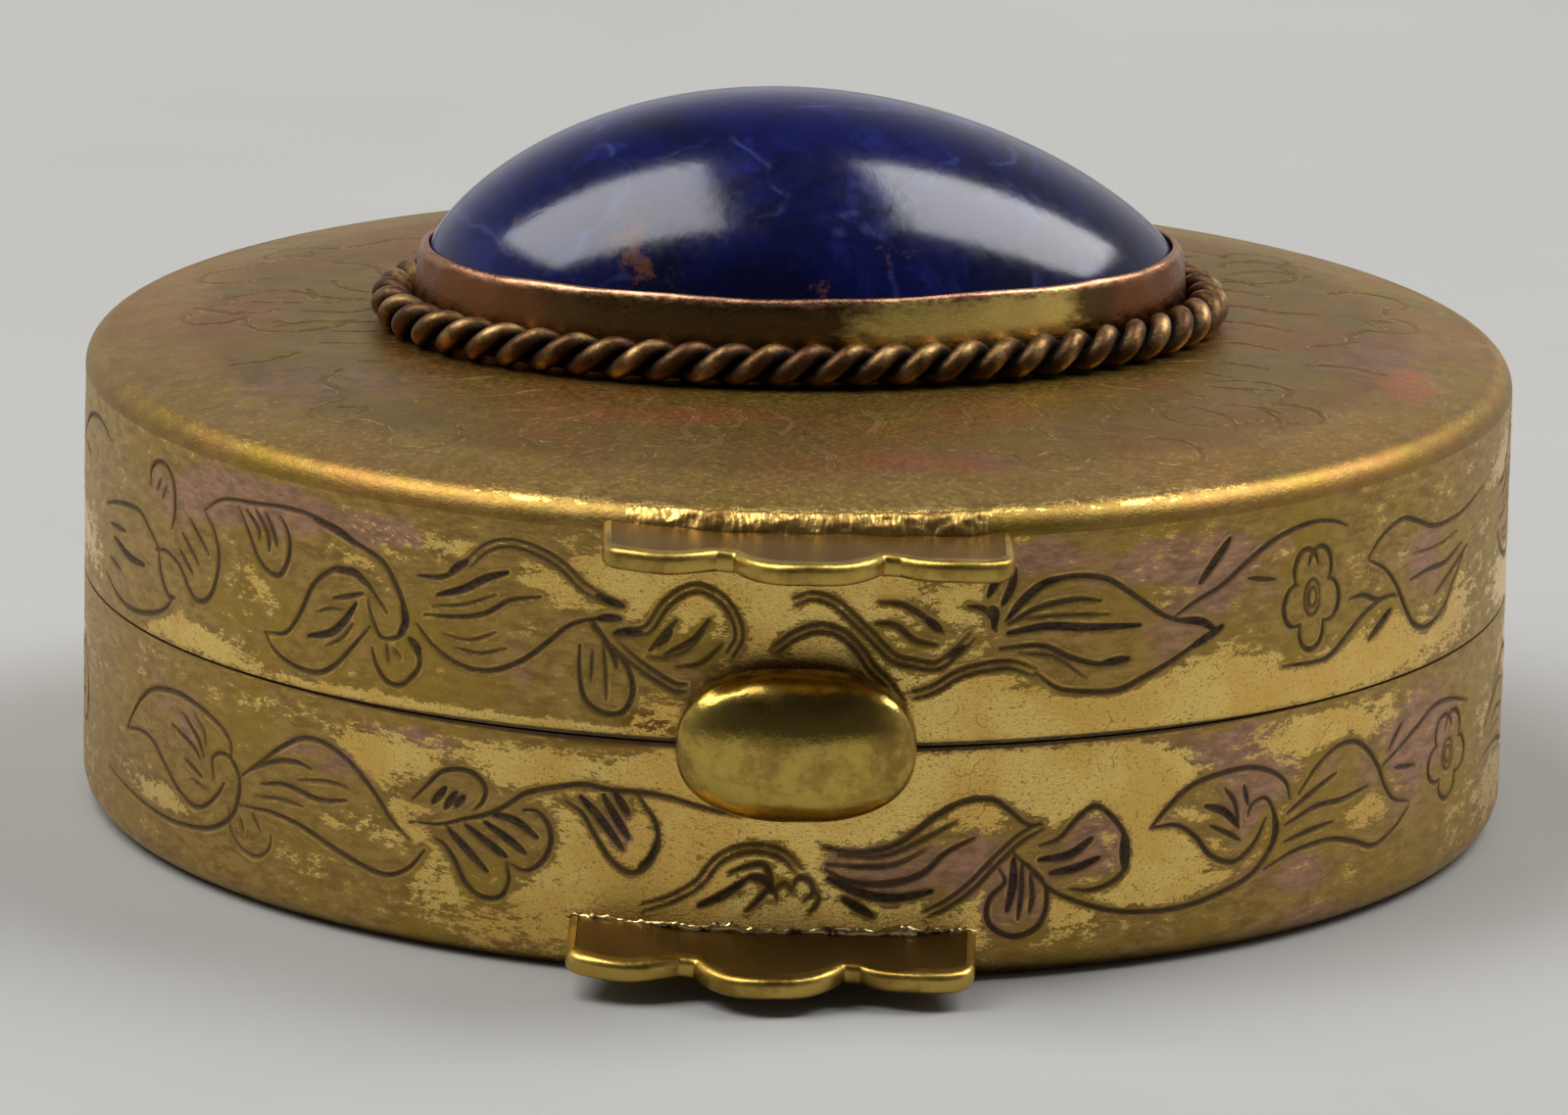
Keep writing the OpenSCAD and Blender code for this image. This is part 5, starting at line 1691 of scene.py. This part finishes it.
def camera():
    pitch, yaw, roll = math.radians(14.08), -0.001, 0.020
    forward = Vector((math.sin(yaw) * math.cos(pitch), math.cos(yaw) * math.cos(pitch), -math.sin(pitch)))
    right = forward.cross(Vector((0, 0, 1))).normalized()
    up = right.cross(forward)
    right, up = right * math.cos(roll) + up * math.sin(roll), up * math.cos(roll) - right * math.sin(roll)
    data = bpy.data.cameras.new("camera")
    data.lens, data.sensor_width = 268.67, 36
    data.clip_start, data.clip_end = 0.02, 20
    obj = link(bpy.data.objects.new("camera", data))
    turn = Matrix((right, up, -forward)).transposed().to_4x4()
    obj.matrix_world = Matrix.Translation((0, -0.4, 0.108743)) @ turn
    bpy.context.scene.camera = obj


def dress(material, names):
    """Gives CAD parts that stay in view their material."""
    for name in names:
        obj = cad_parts[name]
        if not obj.data.materials:
            obj.data.materials.append(material)
        for place in obj.material_slots:
            place.material = material


# ---- Assembly ----

gilt = aged_gilt()
tab_brass = tab_metal()
button_brass = cast_brass("button_brass", tone(190, 162, 78), tone(146, 118, 56), 0.17, 0.8, 0.1)
gold_solder = cast_brass("gold_solder", tone(206, 168, 92), tone(128, 94, 50), 0.3, 0.9, 0.1, 0.03)
solder = cast_brass("solder", tone(224, 200, 140), tone(70, 48, 26), 0.3, 1.6, 0.05)
dull_brass = cast_brass("dull_brass", tone(176, 142, 72), tone(118, 92, 48), 0.34, 0.4, 0.08)
copper, rope, steel, board = bezel_copper(), rope_copper(), spring_steel(), card()
blue_velvet = velvet("blue_velvet", tone(26, 29, 84), tone(42, 47, 112))

lid_drawing = drawn_wall(LID_VINE, LID_REPEATS)
base_drawing = drawn_wall(BASE_VINE, BASE_REPEATS)
top_drawing = drawn_top()
lid_bright = LID_BRIGHT + chance_marks(11, 26, LID_BAND, (0.15, 0.75))
base_bright = BASE_BRIGHT + chance_marks(12, 26, BASE_BAND, (0.15, 0.75))
lid_mauve = LID_MAUVE + chance_marks(13, 14, LID_BAND, (0.3, 0.9))
base_mauve = BASE_MAUVE + chance_marks(14, 14, BASE_BAND, (0.3, 0.9))
halves = (
    ("front", (-SIDE, SIDE), 1060, 86, 88),
    ("back", (SIDE, ROUND_WALL - SIDE), 700, 58, 62),
)
for half, span, columns, lid_rows, base_rows in halves:
    wall = engraved_wall(
        f"lid_wall_{half}", "lid", lid_drawing, span, columns, lid_rows, LID_FOOT, WALL_TOP,
        CASE_R - SHEET, 1, (lid_bright, lid_mauve, LID_DARK_SPOTS), gilt,
    )
    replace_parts(wall, "lid_shell")
    wall = engraved_wall(
        f"base_wall_{half}", "base", base_drawing, span, columns, base_rows, BASE_ROUND, BASE_TOP,
        COLLAR_R, -1, (base_bright, base_mauve, BASE_DARK_SPOTS), gilt,
    )
    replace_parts(wall, "base_shell")
    lid_top(half, span, columns * 5 // 7, lid_rows * 6 // 5, top_drawing, gilt)
base_floor(gilt)
thumb_tab("lid_thumb_tab", "lid_tab", "lid", LID_TAB_Z, LID_TAB_SLOPE, LID_TAB_TURN, tab_brass)
thumb_tab("base_thumb_tab", "base_tab", "base", BASE_TAB_Z, BASE_TAB_SLOPE, BASE_TAB_TURN, tab_brass)
solder_flood("lid_tab_solder", "lid", LID_TAB_TURN, 3, gold_solder)
solder_seam("base_tab_solder", "base", BASE_TAB_Z + 0.04, BASE_TAB_TURN, 4, 0.14, solder)
push_button(button_brass)
bezel(copper)
stone(blue_stone())
for letter, phase in (("a", 0), ("b", math.pi)):
    rope_wire(f"rope_wire_{letter}", f"rope_strand_{letter}", phase, rope)
spring_leaf(steel)
puffed("velvet_pad", "needle_pad", "base", 1, blue_velvet)
puffed("velvet_lining", "lid_lining", "lid", -1, blue_velvet)
dress(dull_brass, [
    "base_collar", "hinge_base_leaf", "hinge_lid_leaf", "hinge_pin", "catch_keeper", "catch_nose",
    "button_stem", "spring_rivets", "setting_plate",
])
dress(board, ["pad_card", "lining_card"])
floor()
surroundings()
softbox("softbox_left", -86, 61, 0.8, 0.5, 0.62, 6.8)
softbox("softbox_right", 110, 53, 0.8, 0.42, 0.54, 5.7)
camera()

view = bpy.context.scene.view_settings
view.view_transform = "Standard"
